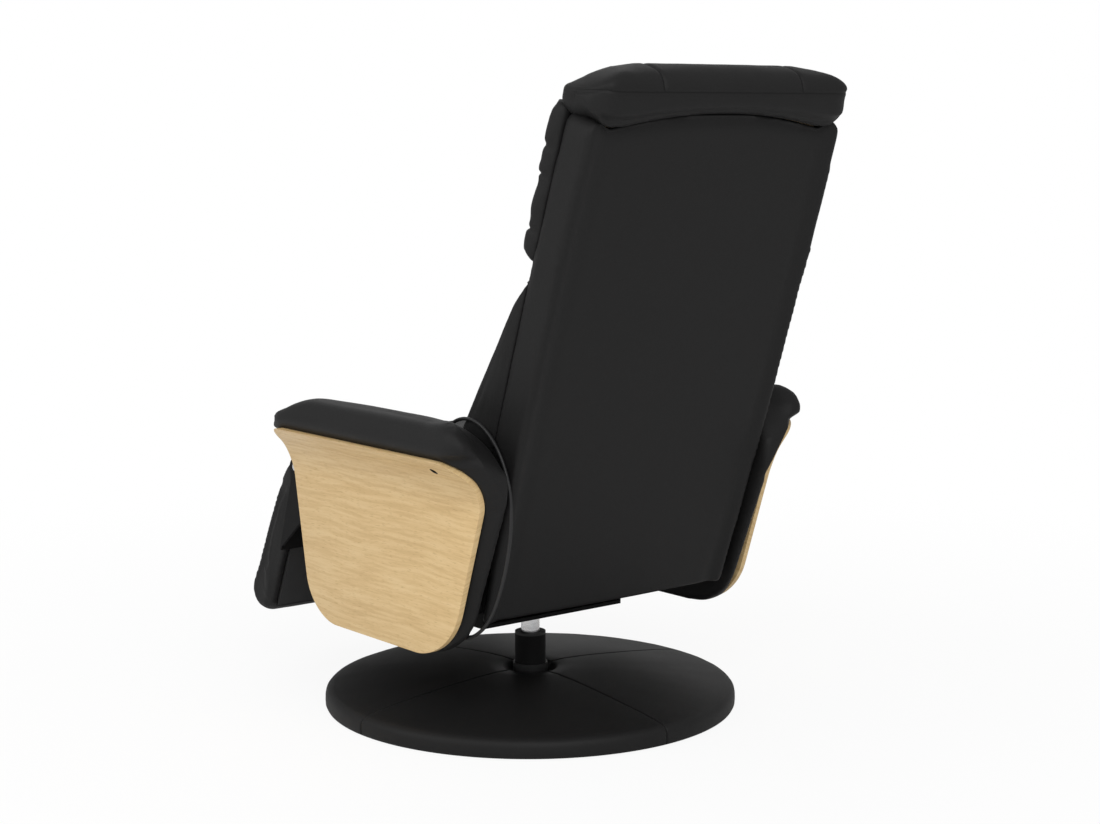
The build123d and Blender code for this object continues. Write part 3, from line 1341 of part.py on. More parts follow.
def handset_relief():
    """Tapered strain relief at the handset's cord end."""
    middle = HANDSET_HEIGHT / 2
    start = HANDSET_LENGTH / 2
    cone = Cone(RELIEF_DIAMETER / 2, CORD_DIAMETER / 2 + 0.6, RELIEF_LENGTH)
    return Pos(0, start + RELIEF_LENGTH / 2, middle) * Rot(-90, 0, 0) * cone


# Cord of the hand control, from the control box round the left arm's heel to the handset
RELIEF_END = HANDSET_PLACE * Pos(0, HANDSET_LENGTH / 2 + RELIEF_LENGTH, HANDSET_HEIGHT / 2)
CORD_ROUTE = [
    (GLAND_X, GLAND_Y, GLAND_FOOT),
    (GLAND_X, GLAND_Y, GLAND_FOOT - 24),
    (GLAND_X + 4, GLAND_Y + 14, GLAND_FOOT - 46),
    (GLAND_X + 13, GLAND_Y + 42, GLAND_FOOT - 55),
    (GLAND_X + 28, GLAND_Y + 74, GLAND_FOOT - 54),
    (GLAND_X + 46, GLAND_Y + 106, GLAND_FOOT - 50),
    (GLAND_X + 61, GLAND_Y + 132, GLAND_FOOT - 45),
    (251.5, 153, 172),
    (252.5, 186, 180),
    (252.5, 222, 209),
    (252.5, 246, 253),
    (252.5, 265, 306),
    (252.5, 275, 362),
    (252.5, 272, 414),
    (252.5, 250, 462),
    (252.5, 214, 496),
    (252.2, 174, 507),
    (251.0, 137, 499),
    (249.0, 108, 478),
    (245.0, 90, 452),
    (235.0, 82, 430),
    (215.0, 76, 419),
    (190.0, 68, 417),
    (166.0, 54, 420),
    tuple(RELIEF_END.position + Vector(0, 27, 0)),
    tuple(RELIEF_END.position),
]


def cord_radii():
    """Largest round bends that the straight runs allow."""
    points = [Vector(*point) for point in CORD_ROUTE]
    radii = []
    for before, here, after in zip(points, points[1:], points[2:]):
        turn = math.radians((here - before).get_angle(after - here))
        shorter = min((here - before).length, (after - here).length)
        radii.append(0.45 * shorter / math.tan(turn / 2))
    return radii


def control_cord():
    radii = cord_radii()
    path = FilletPolyline(CORD_ROUTE, radius=radii)
    start = Plane(origin=path @ 0, z_dir=path % 0)
    cord = sweep(start * Circle(CORD_DIAMETER / 2), path=path)
    section = math.pi * CORD_DIAMETER**2 / 4
    print("cord length", round(path.length), "volume ratio", round(cord.volume / (section * path.length), 4))
    print("cord radii", [round(radius) for radius in radii])
    return cord


def build_nodes():
    """Every node of the part, by name."""
    nodes = {
        "base_glides": base_glides(),
        "base_plate": base_plate(),
        "base_cover": base_cover(),
        "column_tube": column_tube(),
        "column_bolts": column_bolts(),
        "column_collar": column_collar(),
        "swivel_bush": swivel_bush(),
        "thrust_washer": thrust_washer(),
        "spindle": spindle(),
        "swivel_bracket": swivel_bracket(),
        "bracket_bolts": bracket_bolts(),
        "cross_bars": cross_bars(),
        "chassis_plates": both_sides(chassis_plate()),
        "pivot_pins": pivot_pins(),
        "seat_side_boards": both_sides(seat_side_board()),
        "seat_end_boards": seat_end_boards(),
        "seat_deck": seat_deck(),
        "seat_cushion": seat_cushion(),
        "arm_boards": both_sides(drilled_arm_board()),
        "arm_bolts": arm_bolts(),
        "arm_screws": both_sides(arm_screw()),
        "control_box": control_box(),
        "power_inlet": power_inlet(),
        "cord_gland": cord_gland(),
        "handset_lower_shell": HANDSET_PLACE * handset_lower_shell(),
        "handset_upper_shell": HANDSET_PLACE * handset_upper_shell(),
        "handset_relief": HANDSET_PLACE * handset_relief(),
        "control_cord": control_cord(),
        "back_panel": BACK_PLACE * back_panel(),
        "back_uprights": BACK_PLACE * both_sides(upright()),
        "back_cross_rails": BACK_PLACE * back_cross_rails(),
        "back_support": BACK_PLACE * back_support(),
        "upper_cushion": BACK_PLACE * upper_cushion(),
        "lumbar_cushion": BACK_PLACE * lumbar_cushion(),
        "headrest_cap": BACK_PLACE * headrest_cap(),
        "back_brackets": BACK_PLACE * both_sides(back_bracket()),
        "rear_link_pins": BACK_PLACE * both_sides(rear_link_pin()),
        "drive_links": both_sides(drive_link()),
        "footrest_board": footrest_board(),
        "footrest_pad": footrest_pad(),
        "footrest_levers": both_sides(footrest_lever()),
        "front_link_pins": both_sides(front_link_pin()),
        "seat_motors": group(motor_pair(motor_cup(), SEAT_MOTOR_PLACE)),
        "seat_rotors": group(motor_pair(motor_rotor(), SEAT_MOTOR_PLACE)),
    }
    for name, side in SIDES.items():
        nodes["arm_pad_" + name] = on_side(arm_pad(), side)
        nodes["arm_panel_" + name] = on_side(arm_panel(), side)
        nodes["side_band_" + name] = BACK_PLACE * on_side(side_band(), side)
        nodes["wing_" + name] = BACK_PLACE * on_side(wing(), side)
    cups = []
    for name, height in (("upper", UPPER_MOTOR_HEIGHT), ("lower", LOWER_MOTOR_HEIGHT)):
        place = back_motor_place(height)
        cups += motor_pair(motor_cup(), place)
        nodes["back_rotors_" + name] = group(motor_pair(motor_rotor(), place))
    nodes["back_motors"] = group(cups)
    for name, place in zip(BUTTON_NAMES, button_places()):
        nodes["button_" + name] = HANDSET_PLACE * button(place)
    return nodes


os.makedirs("parts", exist_ok=True)
for node_name, solid in build_nodes().items():
    export_step(solid, os.path.join("parts", node_name + ".step"))
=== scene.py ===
import json
import math

import bmesh
import bpy
from mathutils import Matrix, Vector, noise


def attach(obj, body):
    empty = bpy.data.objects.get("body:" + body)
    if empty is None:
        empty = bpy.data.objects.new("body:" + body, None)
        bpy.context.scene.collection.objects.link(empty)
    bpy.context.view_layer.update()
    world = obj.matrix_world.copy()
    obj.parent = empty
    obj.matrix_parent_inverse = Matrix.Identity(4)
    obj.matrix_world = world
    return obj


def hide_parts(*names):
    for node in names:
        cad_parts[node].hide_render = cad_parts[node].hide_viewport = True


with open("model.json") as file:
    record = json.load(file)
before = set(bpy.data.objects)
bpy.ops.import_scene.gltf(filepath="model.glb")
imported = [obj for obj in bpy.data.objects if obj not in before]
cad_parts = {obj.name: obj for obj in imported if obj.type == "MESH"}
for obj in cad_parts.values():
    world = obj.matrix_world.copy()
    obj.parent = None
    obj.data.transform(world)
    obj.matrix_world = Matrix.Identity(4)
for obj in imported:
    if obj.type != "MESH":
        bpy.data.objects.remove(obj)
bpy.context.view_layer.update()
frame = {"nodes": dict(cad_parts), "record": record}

NODES = frame["nodes"]

# Camera of the photograph
PHOTO_WIDTH = 1100
FOCAL_PIXELS = 2116.76
SENSOR = 36.0
AZIMUTH = 141.519
HEADING = 140.972
PITCH = 8.079
DISTANCE = 3.35677
EYE_HEIGHT = 0.94986

# Backrest frame: X across, Y out of the rear panel, Z up along it
LEAN = 18.27
BACK_FOOT = (0.0, 0.1938, 0.198)
BACK = Matrix.Translation(BACK_FOOT) @ Matrix.Rotation(math.radians(-LEAN), 4, "X")
BACK_TURN = BACK.to_3x3()
BACK_INVERSE = BACK.inverted()
BACK_UNTURN = BACK_INVERSE.to_3x3()

# Back panel: half widths, bulge of its sides, arch of its top, and where the side bands meet it
BACK_FOOT_HALF = 0.236
BACK_TOP_HALF = 0.238
BACK_SIDE_BULGE = 0.036
BACK_SHOULDER = 0.756
BACK_ARCH = 0.788
BACK_ARCH_RISE = 0.032
BAND_REAR = -0.0135
BAND_MEETS_PANEL = -0.005

# Headrest cap: lower edge of its rear flap, and its seams
FLAP_HALF = 0.22
FLAP_EDGE = 0.7895
FLAP_EDGE_RISE = 0.018
CAP_SEAM_HEIGHT = 0.8235
CAP_CROSS_SEAM = 0.134
CAP_CORNER = 0.006
CAP_END = 0.2
CAP_END_SEAM = -0.040
CAP_SEAM_FALL = 0.3

# Cushions of the back
PLEATS = (0.594, 0.676, 0.711, 0.752)
CUSHION_REAR = -0.0593
CUSHION_SEWN = 0.006
HEAD_CUSHION_TOP = 0.757
LUMBAR_HALF = 0.196
STITCH = 0.0055

# Bentwood panel: its flare, how its face unrolls, its hem, and the hole of the arm screw, where shade is
# painted into the wood
FLARE = 52.5
PANEL_FACE = 0.2848
PANEL_UNROLL = 0.49
HEM_LIFT = 0.005
HOLE = (0.3273, 0.189, 0.437)
HOLE_RADIUS = 0.0066
HOLE_RIM = 0.0006

# Arm: space of its inner board as spans of x, y and z, and the bevel of its rear corner
BOARD_SPACE = ((0.2605, 0.2746), (-0.181, 0.151), (0.169, 0.353))
BEVEL_ACROSS = 0.704
BEVEL_BACK = 0.71
BEVEL_LOW = 0.3760
BEVEL_LOW_HEIGHT = 0.380
BEVEL_SLOPE = 0.49
BEVEL_HIGH = 0.4105

# Seat: place and half size of the hand control that lies on it, and the part of the cord that does
HANDSET = (0.15065, -0.090)
HANDSET_HALF = (0.024, 0.071)
CORD_ON_SEAT_Y = 0.09
CORD_ON_SEAT_Z = 0.41

# Footrest: a point of its board in y and z, and the way that the board faces
FOOT_BOARD = (-0.304, 0.357)
FOOT_BOARD_FRONT = (-0.921, 0.390)

# Base
BASE_STEPS = 360
SEAM_CROWDING = 0.92

# Cord of the hand control
CORD_DIAMETER = 0.0055
CORD_ROUTE = (
    (0.178, -0.004, 0.212),
    (0.178, -0.004, 0.188),
    (0.182, 0.010, 0.166),
    (0.191, 0.038, 0.157),
    (0.206, 0.070, 0.158),
    (0.224, 0.102, 0.162),
    (0.239, 0.128, 0.167),
    (0.2515, 0.153, 0.172),
    (0.2525, 0.186, 0.180),
    (0.2525, 0.222, 0.209),
    (0.2525, 0.246, 0.253),
    (0.2525, 0.265, 0.306),
    (0.2525, 0.275, 0.362),
    (0.2525, 0.272, 0.414),
    (0.2525, 0.250, 0.462),
    (0.2525, 0.214, 0.496),
    (0.2522, 0.174, 0.507),
    (0.2510, 0.137, 0.499),
    (0.2490, 0.108, 0.478),
    (0.2450, 0.090, 0.452),
    (0.2350, 0.082, 0.430),
    (0.2150, 0.076, 0.419),
    (0.1900, 0.068, 0.417),
    (0.1660, 0.054, 0.420),
    (0.15065, 0.029, 0.42453),
    (0.15065, 0.002, 0.42453),
)


class Wire:
    """A shader socket that takes arithmetic. Its node method adds any other node to the material."""

    def __init__(self, tree, socket=None):
        self.tree = tree
        self.socket = socket

    def node(self, kind, inputs=None, out=0, stops=None, **settings):
        made = self.tree.nodes.new("ShaderNode" + kind)
        for name, value in settings.items():
            setattr(made, name, value)
        if stops:
            ramp = made.color_ramp.elements
            while len(ramp) < len(stops):
                ramp.new(1.0)
            for element, (place, colour) in zip(ramp, stops):
                element.position = place
                element.color = (*colour, 1.0)
        for key, value in (inputs or {}).items():
            if isinstance(value, Wire):
                self.tree.links.new(value.socket, made.inputs[key])
            else:
                made.inputs[key].default_value = value
        return Wire(self.tree, made.outputs[out] if made.outputs else None)

    def maths(self, operation, first, second):
        return self.node("Math", {0: first, 1: second}, operation=operation)

    def __add__(self, other):
        return self.maths("ADD", self, other)

    def __sub__(self, other):
        return self.maths("SUBTRACT", self, other)

    def __rsub__(self, other):
        return self.maths("SUBTRACT", other, self)

    def __mul__(self, other):
        return self.maths("MULTIPLY", self, other)

    def __pow__(self, other):
        return self.maths("POWER", self, other)

    def __rpow__(self, other):
        return self.maths("POWER", other, self)

    __radd__ = __add__
    __rmul__ = __mul__


def start_finish(name):
    """An empty material and a wire to add its nodes with."""
    material = bpy.data.materials.new(name)
    material.use_nodes = True
    material.node_tree.nodes.clear()
    return material, Wire(material.node_tree)


def close_finish(net, height=None, bump=0.5, depth=0.001, **sockets):
    """The shader, its bump and the output. Socket names have spaces where these have underscores."""
    inputs = {name.replace("_", " "): value for name, value in sockets.items()}
    if height is not None:
        inputs["Normal"] = net.node("Bump", {"Strength": bump, "Distance": depth, "Height": height})
    shader = net.node("BsdfPrincipled", inputs)
    net.node("OutputMaterial", {"Surface": shader})


def object_place(net, scale=(1, 1, 1)):
    """Object coordinates, stretched."""
    place = net.node("TexCoord", out=3)
    return net.node("Mapping", {"Vector": place, "Scale": scale})


def blend_colours(net, share, first, second):
    return net.node("Mix", {0: share, 6: first, 7: second}, out=2, data_type="RGBA")


def shade(colour, factor):
    return (*(channel * factor for channel in colour), 1.0)


def object_axes(net):
    """The three object coordinates, as wires of their own."""
    place = net.node("TexCoord", out=3)
    return [net.node("SeparateXYZ", {0: place}, out=axis) for axis in range(3)]


def size_of(wire):
    return wire.node("Math", {0: wire}, operation="ABSOLUTE")


def smaller(first, second):
    return first.maths("MINIMUM", first, second)


def larger(first, second):
    return first.maths("MAXIMUM", first, second)


def fade(net, value, start, end):
    """1 at the start, falling softly to 0 at the end."""
    limits = {"Value": value, 1: start, 2: end, 3: 1.0, 4: 0.0}
    return net.node("MapRange", limits, interpolation_type="SMOOTHSTEP")


def along_back(net):
    """Across, out of the panel and up along it, for the leaning backrest."""
    x, y, z = object_axes(net)
    lean = math.radians(LEAN)
    rearward = y - BACK_FOOT[1]
    upward = z - BACK_FOOT[2]
    out = rearward * math.cos(lean) - upward * math.sin(lean)
    up = rearward * math.sin(lean) + upward * math.cos(lean)
    return x, out, up


def base_seams(net):
    """Four seams from the column to the rim, and down it."""
    x, y, z = object_axes(net)
    x, y = size_of(x), size_of(y)
    return smaller(x, y), larger(x, y) - z


def cap_seams(net):
    """One seam across the rear and round the ends, and two from it over the top."""
    x, out, up = along_back(net)
    above = up - CAP_SEAM_HEIGHT - smaller(out - CAP_CORNER, 0.0) * CAP_SEAM_FALL
    rear = size_of(above) + larger(CAP_END_SEAM - out, 0.0) * 10.0
    cross = size_of(size_of(x) - CAP_CROSS_SEAM) + larger(0.0 - above, 0.0) * 10.0
    return smaller(rear, cross), x + out


def leather_finish(name, colour, gloss, cell=0.0017, seams=None):
    """Black hide: small pebbled grain, fine creases, a sheen that varies slowly, and sewn seams with
    painted shade darkening their creases.
    """
    material, net = start_finish(name)
    place = object_place(net)
    pebbles = net.node(
        "TexVoronoi", {"Vector": place, "Scale": 1 / cell}, feature="DISTANCE_TO_EDGE"
    )
    creases = net.node("TexNoise", {"Vector": place, "Scale": 170.0, "Detail": 4.0, "Roughness": 0.6})
    slow = net.node("TexNoise", {"Vector": place, "Scale": 7.0, "Detail": 3.0})
    pebble = net.node("MapRange", {"Value": pebbles, 1: 0.0, 2: 0.35}, interpolation_type="SMOOTHSTEP")
    height = pebble * 0.6 + creases * 0.8
    tone = pebble * 0.35 + slow * 0.65
    base = blend_colours(net, tone, shade(colour, 0.72), shade(colour, 1.25))
    roughness = gloss + slow * 0.12 - pebble * 0.06
    if seams:
        away, along = seams(net)
        crease = fade(net, away, 0.0002, 0.0017)
        dash = net.node("Math", {0: along * (math.tau / STITCH)}, operation="SINE")
        thread = fade(net, size_of(away - 0.0036), 0.0002, 0.0007) * fade(net, dash, -0.3, -0.6)
        height = height - crease * 3.5 + thread * 1.2
        # painted shade: the seam crease is blended towards near black, standing for the shade that falls in
        # the sewn groove
        base = blend_colours(net, crease * 0.8, base, (0.002, 0.002, 0.002, 1))
    close_finish(
        net,
        height,
        bump=0.32,
        depth=0.0005,
        Base_Color=base,
        Roughness=roughness,
        Specular_IOR_Level=0.2,
    )
    return material


def oak_finish(name):
    """Clear-lacquered oak veneer: long pale streaks, darker pores and a few soft flames, with painted shade
    in the hole of the arm screw.
    """
    material, net = start_finish(name)
    x, y, z = object_axes(net)
    side = size_of(x)
    across = z + (side - PANEL_FACE) * PANEL_UNROLL
    sheet = net.node("CombineXYZ", {0: across, 1: y, 2: net.node("Math", {0: x}, operation="SIGN")})
    waver = net.node("TexNoise", {"Vector": sheet, "Scale": 6.0, "Detail": 2.0})
    bent = net.node("CombineXYZ", {0: across + (waver - 0.5) * 0.016, 1: y, 2: 0.0})

    def streaks(wide, long, detail):
        stretched = net.node("Mapping", {"Vector": bent, "Scale": (wide, long, 1.0)})
        return net.node("TexNoise", {"Vector": stretched, "Scale": 1.0, "Detail": detail, "Roughness": 0.6})

    bands = streaks(34.0, 2.5, 2.0)
    rings = streaks(150.0, 9.0, 4.0)
    fine = streaks(620.0, 22.0, 3.0)
    pores = streaks(900.0, 60.0, 1.0)
    pore = net.node("MapRange", {"Value": pores, 1: 0.60, 2: 0.72}, interpolation_type="SMOOTHSTEP")
    ring = net.node("MapRange", {"Value": rings, 1: 0.36, 2: 0.66}, interpolation_type="SMOOTHSTEP")
    tone = bands * 0.3 + ring * 0.42 + fine * 0.28
    body = net.node(
        "ValToRGB",
        {0: tone},
        stops=((0.0, (0.50, 0.33, 0.145)), (0.45, (0.63, 0.443, 0.214)), (1.0, (0.725, 0.545, 0.29))),
    )
    grained = blend_colours(net, pore * 0.5, body, (0.38, 0.24, 0.10, 1.0))
    # painted shade: the wood inside the arm screw's hole is painted near black, standing for the shade in
    # the hole
    flare = math.radians(FLARE)
    slope = (side - HOLE[0]) * math.sin(flare) + (z - HOLE[2]) * math.cos(flare)
    radius = ((y - HOLE[1]) ** 2 + slope ** 2) ** 0.5
    hole = fade(net, radius, HOLE_RADIUS, HOLE_RADIUS + HOLE_RIM)
    colour = blend_colours(net, hole, grained, (0.004, 0.004, 0.004, 1))
    height = fine * 0.4 - pore * 0.8
    close_finish(
        net,
        height,
        bump=0.16,
        depth=0.0004,
        Base_Color=colour,
        Roughness=0.46 + pore * 0.2 - ring * 0.05,
        Specular_IOR_Level=0.4,
    )
    return material


def board_finish(name):
    """Plain plywood with a soft streaked grain."""
    material, net = start_finish(name)
    grain = net.node(
        "TexNoise", {"Vector": object_place(net, (30.0, 160.0, 160.0)), "Scale": 1.0, "Detail": 4.0}
    )
    plies = net.node("TexWave", {"Vector": object_place(net), "Scale": 90.0, "Distortion": 1.5})
    colour = blend_colours(net, grain * 0.8 + plies * 0.2, (0.42, 0.28, 0.15, 1), (0.66, 0.50, 0.31, 1))
    close_finish(net, grain, bump=0.2, depth=0.0005, Base_Color=colour, Roughness=0.6 + grain * 0.15)
    return material


def painted_finish(name, colour, roughness, texture=520.0, sheen=0.4):
    """Powder coat, moulded plastic or rubber: fine orange peel and a slight mottle."""
    material, net = start_finish(name)
    place = object_place(net)
    peel = net.node("TexNoise", {"Vector": place, "Scale": texture, "Detail": 2.0})
    mottle = net.node("TexNoise", {"Vector": place, "Scale": 24.0, "Detail": 3.0})
    base = blend_colours(net, mottle, shade(colour, 0.8), shade(colour, 1.2))
    close_finish(
        net,
        peel,
        bump=0.18,
        depth=0.0003,
        Base_Color=base,
        Roughness=roughness + mottle * 0.12 - 0.06,
        Specular_IOR_Level=sheen,
    )
    return material


def metal_finish(name, colour, roughness, stretch):
    """Bare steel with fine tool marks along or round the piece."""
    material, net = start_finish(name)
    marks = net.node("TexNoise", {"Vector": object_place(net, stretch), "Scale": 1.0, "Detail": 3.0})
    smear = net.node("TexNoise", {"Vector": object_place(net), "Scale": 40.0, "Detail": 2.0})
    base = blend_colours(net, smear, shade(colour, 0.85), shade(colour, 1.1))
    close_finish(
        net,
        marks,
        bump=0.1,
        depth=0.0002,
        Base_Color=base,
        Metallic=1.0,
        Roughness=roughness + marks * 0.15 - 0.05,
    )
    return material


def lining_finish(name):
    """Black lining cloth with a plain weave."""
    material, net = start_finish(name)
    place = object_place(net)
    warp = net.node("TexWave", {"Vector": place, "Scale": 420.0}, bands_direction="X")
    weft = net.node("TexWave", {"Vector": place, "Scale": 420.0}, bands_direction="Z")
    fuzz = net.node("TexNoise", {"Vector": place, "Scale": 300.0, "Detail": 3.0})
    weave = warp * weft
    base = blend_colours(net, weave * 0.5 + fuzz * 0.5, (0.006, 0.006, 0.0065, 1), (0.02, 0.02, 0.021, 1))
    close_finish(
        net, weave + fuzz * 0.4, bump=0.4, depth=0.0004, Base_Color=base, Roughness=0.85, Sheen_Weight=0.15
    )
    return material


FINISHES = {
    "leather": leather_finish("black_leather", (0.0100, 0.0098, 0.0099), 0.54),
    "leather_panel": leather_finish("black_leather_stretched", (0.0098, 0.0096, 0.0097), 0.56, 0.0014),
    "leather_base": leather_finish("base_leather", (0.0095, 0.0093, 0.0094), 0.52, 0.0017, base_seams),
    "leather_cap": leather_finish("cap_leather", (0.0100, 0.0098, 0.0099), 0.54, 0.0017, cap_seams),
    "lining": lining_finish("black_lining"),
    "oak": oak_finish("oak_veneer"),
    "board": board_finish("plywood"),
    "steel": painted_finish("dark_steel", (0.010, 0.010, 0.0105), 0.7),
    "black_metal": painted_finish("black_powder_coat", (0.005, 0.005, 0.0052), 0.66, sheen=0.15),
    "bright_steel": metal_finish("ground_steel", (0.78, 0.78, 0.79), 0.25, (40.0, 40.0, 900.0)),
    "bolt": metal_finish("zinc_plate", (0.5, 0.5, 0.51), 0.35, (300.0, 300.0, 300.0)),
    "collar": painted_finish("collar_plastic", (0.014, 0.014, 0.0145), 0.45),
    "nylon": painted_finish("bearing_nylon", (0.018, 0.018, 0.018), 0.5),
    "glide": painted_finish("matt_rubber", (0.02, 0.02, 0.02), 0.75),
    "black_plastic": painted_finish("moulded_plastic", (0.016, 0.016, 0.017), 0.5, 900.0),
    "handset": painted_finish("handset_plastic", (0.028, 0.028, 0.031), 0.42, 1100.0),
    "button": painted_finish("grey_button", (0.22, 0.225, 0.235), 0.5, 900.0),
    "button_red": painted_finish("red_button", (0.42, 0.03, 0.022), 0.45, 900.0),
    "cable": painted_finish("cable_sheath", (0.012, 0.012, 0.0125), 0.5, 700.0),
    "rotor": metal_finish("sintered_steel", (0.42, 0.42, 0.43), 0.5, (200.0, 200.0, 200.0)),
}

for subpart in frame["record"]["subparts"]:
    for holder in NODES[subpart["node"]].material_slots:
        holder.material = FINISHES[subpart["material_slot"]]
NODES["arm_screws"].material_slots[0].material = FINISHES["black_metal"]


def camera():
    lens = bpy.data.cameras.new("photo_camera")
    lens.sensor_fit = "HORIZONTAL"
    lens.sensor_width = SENSOR
    lens.lens = FOCAL_PIXELS * SENSOR / PHOTO_WIDTH
    eye = bpy.data.objects.new("photo_camera", lens)
    turn = math.radians(AZIMUTH)
    eye.location = (math.sin(turn) * DISTANCE, -math.cos(turn) * DISTANCE, EYE_HEIGHT)
    eye.rotation_euler = (math.radians(90 - PITCH), 0, math.radians(HEADING))
    bpy.context.scene.collection.objects.link(eye)
    bpy.context.scene.camera = eye


def lamp(name, place, target, width, power):
    light = bpy.data.lights.new(name, "AREA")
    light.shape = "DISK"
    light.size = width
    light.energy = power
    holder = bpy.data.objects.new(name, light)
    holder.location = place
    holder.rotation_euler = (Vector(target) - Vector(place)).to_track_quat("-Z", "Y").to_euler()
    bpy.context.scene.collection.objects.link(holder)


def studio():
    """Pale floor, white surroundings and soft lamps."""
    bpy.context.scene.view_settings.view_transform = "Standard"
    world = bpy.data.worlds.new("studio")
    world.use_nodes = True
    world.node_tree.nodes.clear()
    bpy.context.scene.world = world
    net = Wire(world.node_tree)
    camera_ray = net.node("LightPath", out=0)
    glossy_ray = net.node("LightPath", out=4)
    through_ray = net.node("LightPath", out=7)
    seen = net.node("Math", {0: camera_ray + glossy_ray, 1: through_ray}, operation="ADD", use_clamp=True)
    sky = net.node("Background", {"Color": (1, 1, 1, 1), "Strength": 0.5 + seen * 0.5})
    net.node("OutputWorld", {"Surface": sky})

    ground = bmesh.new()
    bmesh.ops.create_grid(ground, x_segments=8, y_segments=8, size=14.0)
    floor = new_piece("studio_floor", ground)
    material, net = start_finish("pale_floor")
    camera_ray = net.node("LightPath", out=0)
    grain = net.node("TexNoise", {"Vector": object_place(net), "Scale": 3.0})
    pale = blend_colours(net, grain, (0.86, 0.86, 0.86, 1), (0.9, 0.9, 0.9, 1))
    matt = net.node("BsdfDiffuse", {"Color": pale})
    white = net.node("Emission", {"Color": (1, 1, 1, 1), "Strength": 1.0})
    far = net.node("VectorMath", {0: net.node("TexCoord", out=3)}, out=1, operation="LENGTH")
    glow = 1.0 - fade(net, far, 0.3, 2.2) * 0.1
    mixed = net.node("MixShader", {0: camera_ray * glow, 1: matt, 2: white})
    net.node("OutputMaterial", {"Surface": mixed})
    floor.data.materials.append(material)

    lamp("key", (1.6, 3.2, 3.0), (0, 0.1, 0.5), width=3.2, power=88.0)
    lamp("fill", (3.4, -0.6, 2.2), (0, 0, 0.5), width=3.0, power=48.0)
    lamp("front", (-1.8, -3.2, 2.8), (0, 0, 0.5), width=3.2, power=20.0)


def new_piece(name, form):
    """An object at the origin with the form as its mesh."""
    mesh = bpy.data.meshes.new(name)
    form.to_mesh(mesh)
    form.free()
    piece = bpy.data.objects.new(name, mesh)
    bpy.context.scene.collection.objects.link(piece)
    return piece


def settle(piece):
    """Applies the piece's modifiers."""
    graph = bpy.context.evaluated_depsgraph_get()
    mesh = bpy.data.meshes.new_from_object(piece.evaluated_get(graph))
    mesh.name = piece.name
    piece.modifiers.clear()
    piece.data = mesh


def reshape(piece, change):
    """Lets a function edit the piece's mesh as a bmesh."""
    form = bmesh.new()
    form.from_mesh(piece.data)
    form.normal_update()
    change(form)
    form.to_mesh(piece.data)
    form.free()
    piece.data.update()


def node_form(*names):
    """The solids of some nodes, merged so that the faces join."""
    form = bmesh.new()
    for name in names:
        form.from_mesh(NODES[name].data)
    bmesh.ops.remove_doubles(form, verts=form.verts, dist=1e-5)
    return form


def even_mesh(piece, voxel):
    """Covers the piece with even quads."""
    remesh = piece.modifiers.new("even", "REMESH")
    remesh.mode = "VOXEL"
    remesh.voxel_size = voxel
    settle(piece)


def finer(piece):
    """One smooth subdivision."""
    smooth = piece.modifiers.new("finer", "SUBSURF")
    smooth.levels = smooth.render_levels = 1
    settle(piece)


def relax(piece, rounds, chosen=None):
    """Eases the points that are chosen, or all of them."""

    def change(form):
        points = [point for point in form.verts if chosen is None or chosen(point.co)]
        for _ in range(rounds):
            bmesh.ops.smooth_vert(
                form, verts=points, factor=0.5, use_axis_x=True, use_axis_y=True, use_axis_z=True
            )

    reshape(piece, change)


def move_points(piece, offset):
    """Moves each point by what the function gives for its place and normal."""

    def change(form):
        moves = [offset(point.co, point.normal) for point in form.verts]
        for point, move in zip(form.verts, moves):
            point.co += move

    reshape(piece, change)


def groove(distance, width, depth):
    """Depth of a sewn seam at a distance from it."""
    return depth * math.exp(-((distance / width) ** 2))


def ease(value, start, end):
    """0 at the start, rising softly to 1 at the end."""
    share = min(max((value - start) / (end - start), 0.0), 1.0)
    return share * share * (3 - 2 * share)


def band(value, start, full, fall, end):
    """0 up to the start, 1 between full and fall, and 0 again from the end on."""
    return ease(value, start, full) * ease(-value, -end, -fall)


def facing_out(normal, x):
    """How far a normal points away from the middle of the chair, on the side where x lies."""
    return normal.x * math.copysign(1, x)


def facing_forward(normal):
    """How far a normal points out of the front of the backrest."""
    return max(0.0, -(BACK_UNTURN @ normal).y)


def swell(piece, hold, reach, pressure=4.0, frames=20):
    """Inflates the cover from inside, and lets no point sink.

    hold gives how firmly a point is kept, reach how far it may go.
    """
    before = [(point.co.copy(), point.normal.copy()) for point in piece.data.vertices]
    kept = piece.vertex_groups.new(name="kept")
    for point in piece.data.vertices:
        weight = hold(point.co, point.normal)
        if weight > 0:
            kept.add([point.index], min(weight, 1.0), "REPLACE")
    cloth = piece.modifiers.new("cloth", "CLOTH")
    settings = cloth.settings
    settings.vertex_group_mass = "kept"
    settings.use_pressure = True
    settings.uniform_pressure_force = pressure
    settings.effector_weights.gravity = 0.0
    settings.quality = 4
    settings.mass = 0.3
    settings.tension_stiffness = settings.compression_stiffness = 18.0
    settings.shear_stiffness = 8.0
    settings.bending_stiffness = 1.2
    cloth.point_cache.frame_start = 1
    cloth.point_cache.frame_end = frames
    for step in range(1, frames + 1):
        bpy.context.scene.frame_set(step)
    settle(piece)
    bpy.context.scene.frame_set(1)
    piece.vertex_groups.clear()
    for point, (start, normal) in zip(piece.data.vertices, before):
        move = point.co - start
        move -= normal * min(0.0, move.dot(normal))
        limit = reach(start, point.normal)
        point.co = start + move * min(1.0, limit / max(move.length, 1e-9))
    piece.data.update()


def upholster(piece, body, nodes, slot="leather", finish=None):
    """Finish, body and stand-in of a padded piece."""
    piece.data.materials.clear()
    piece.data.materials.append(FINISHES[finish or slot])
    for face in piece.data.polygons:
        face.use_smooth = True
    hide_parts(*nodes)
    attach(piece, body)


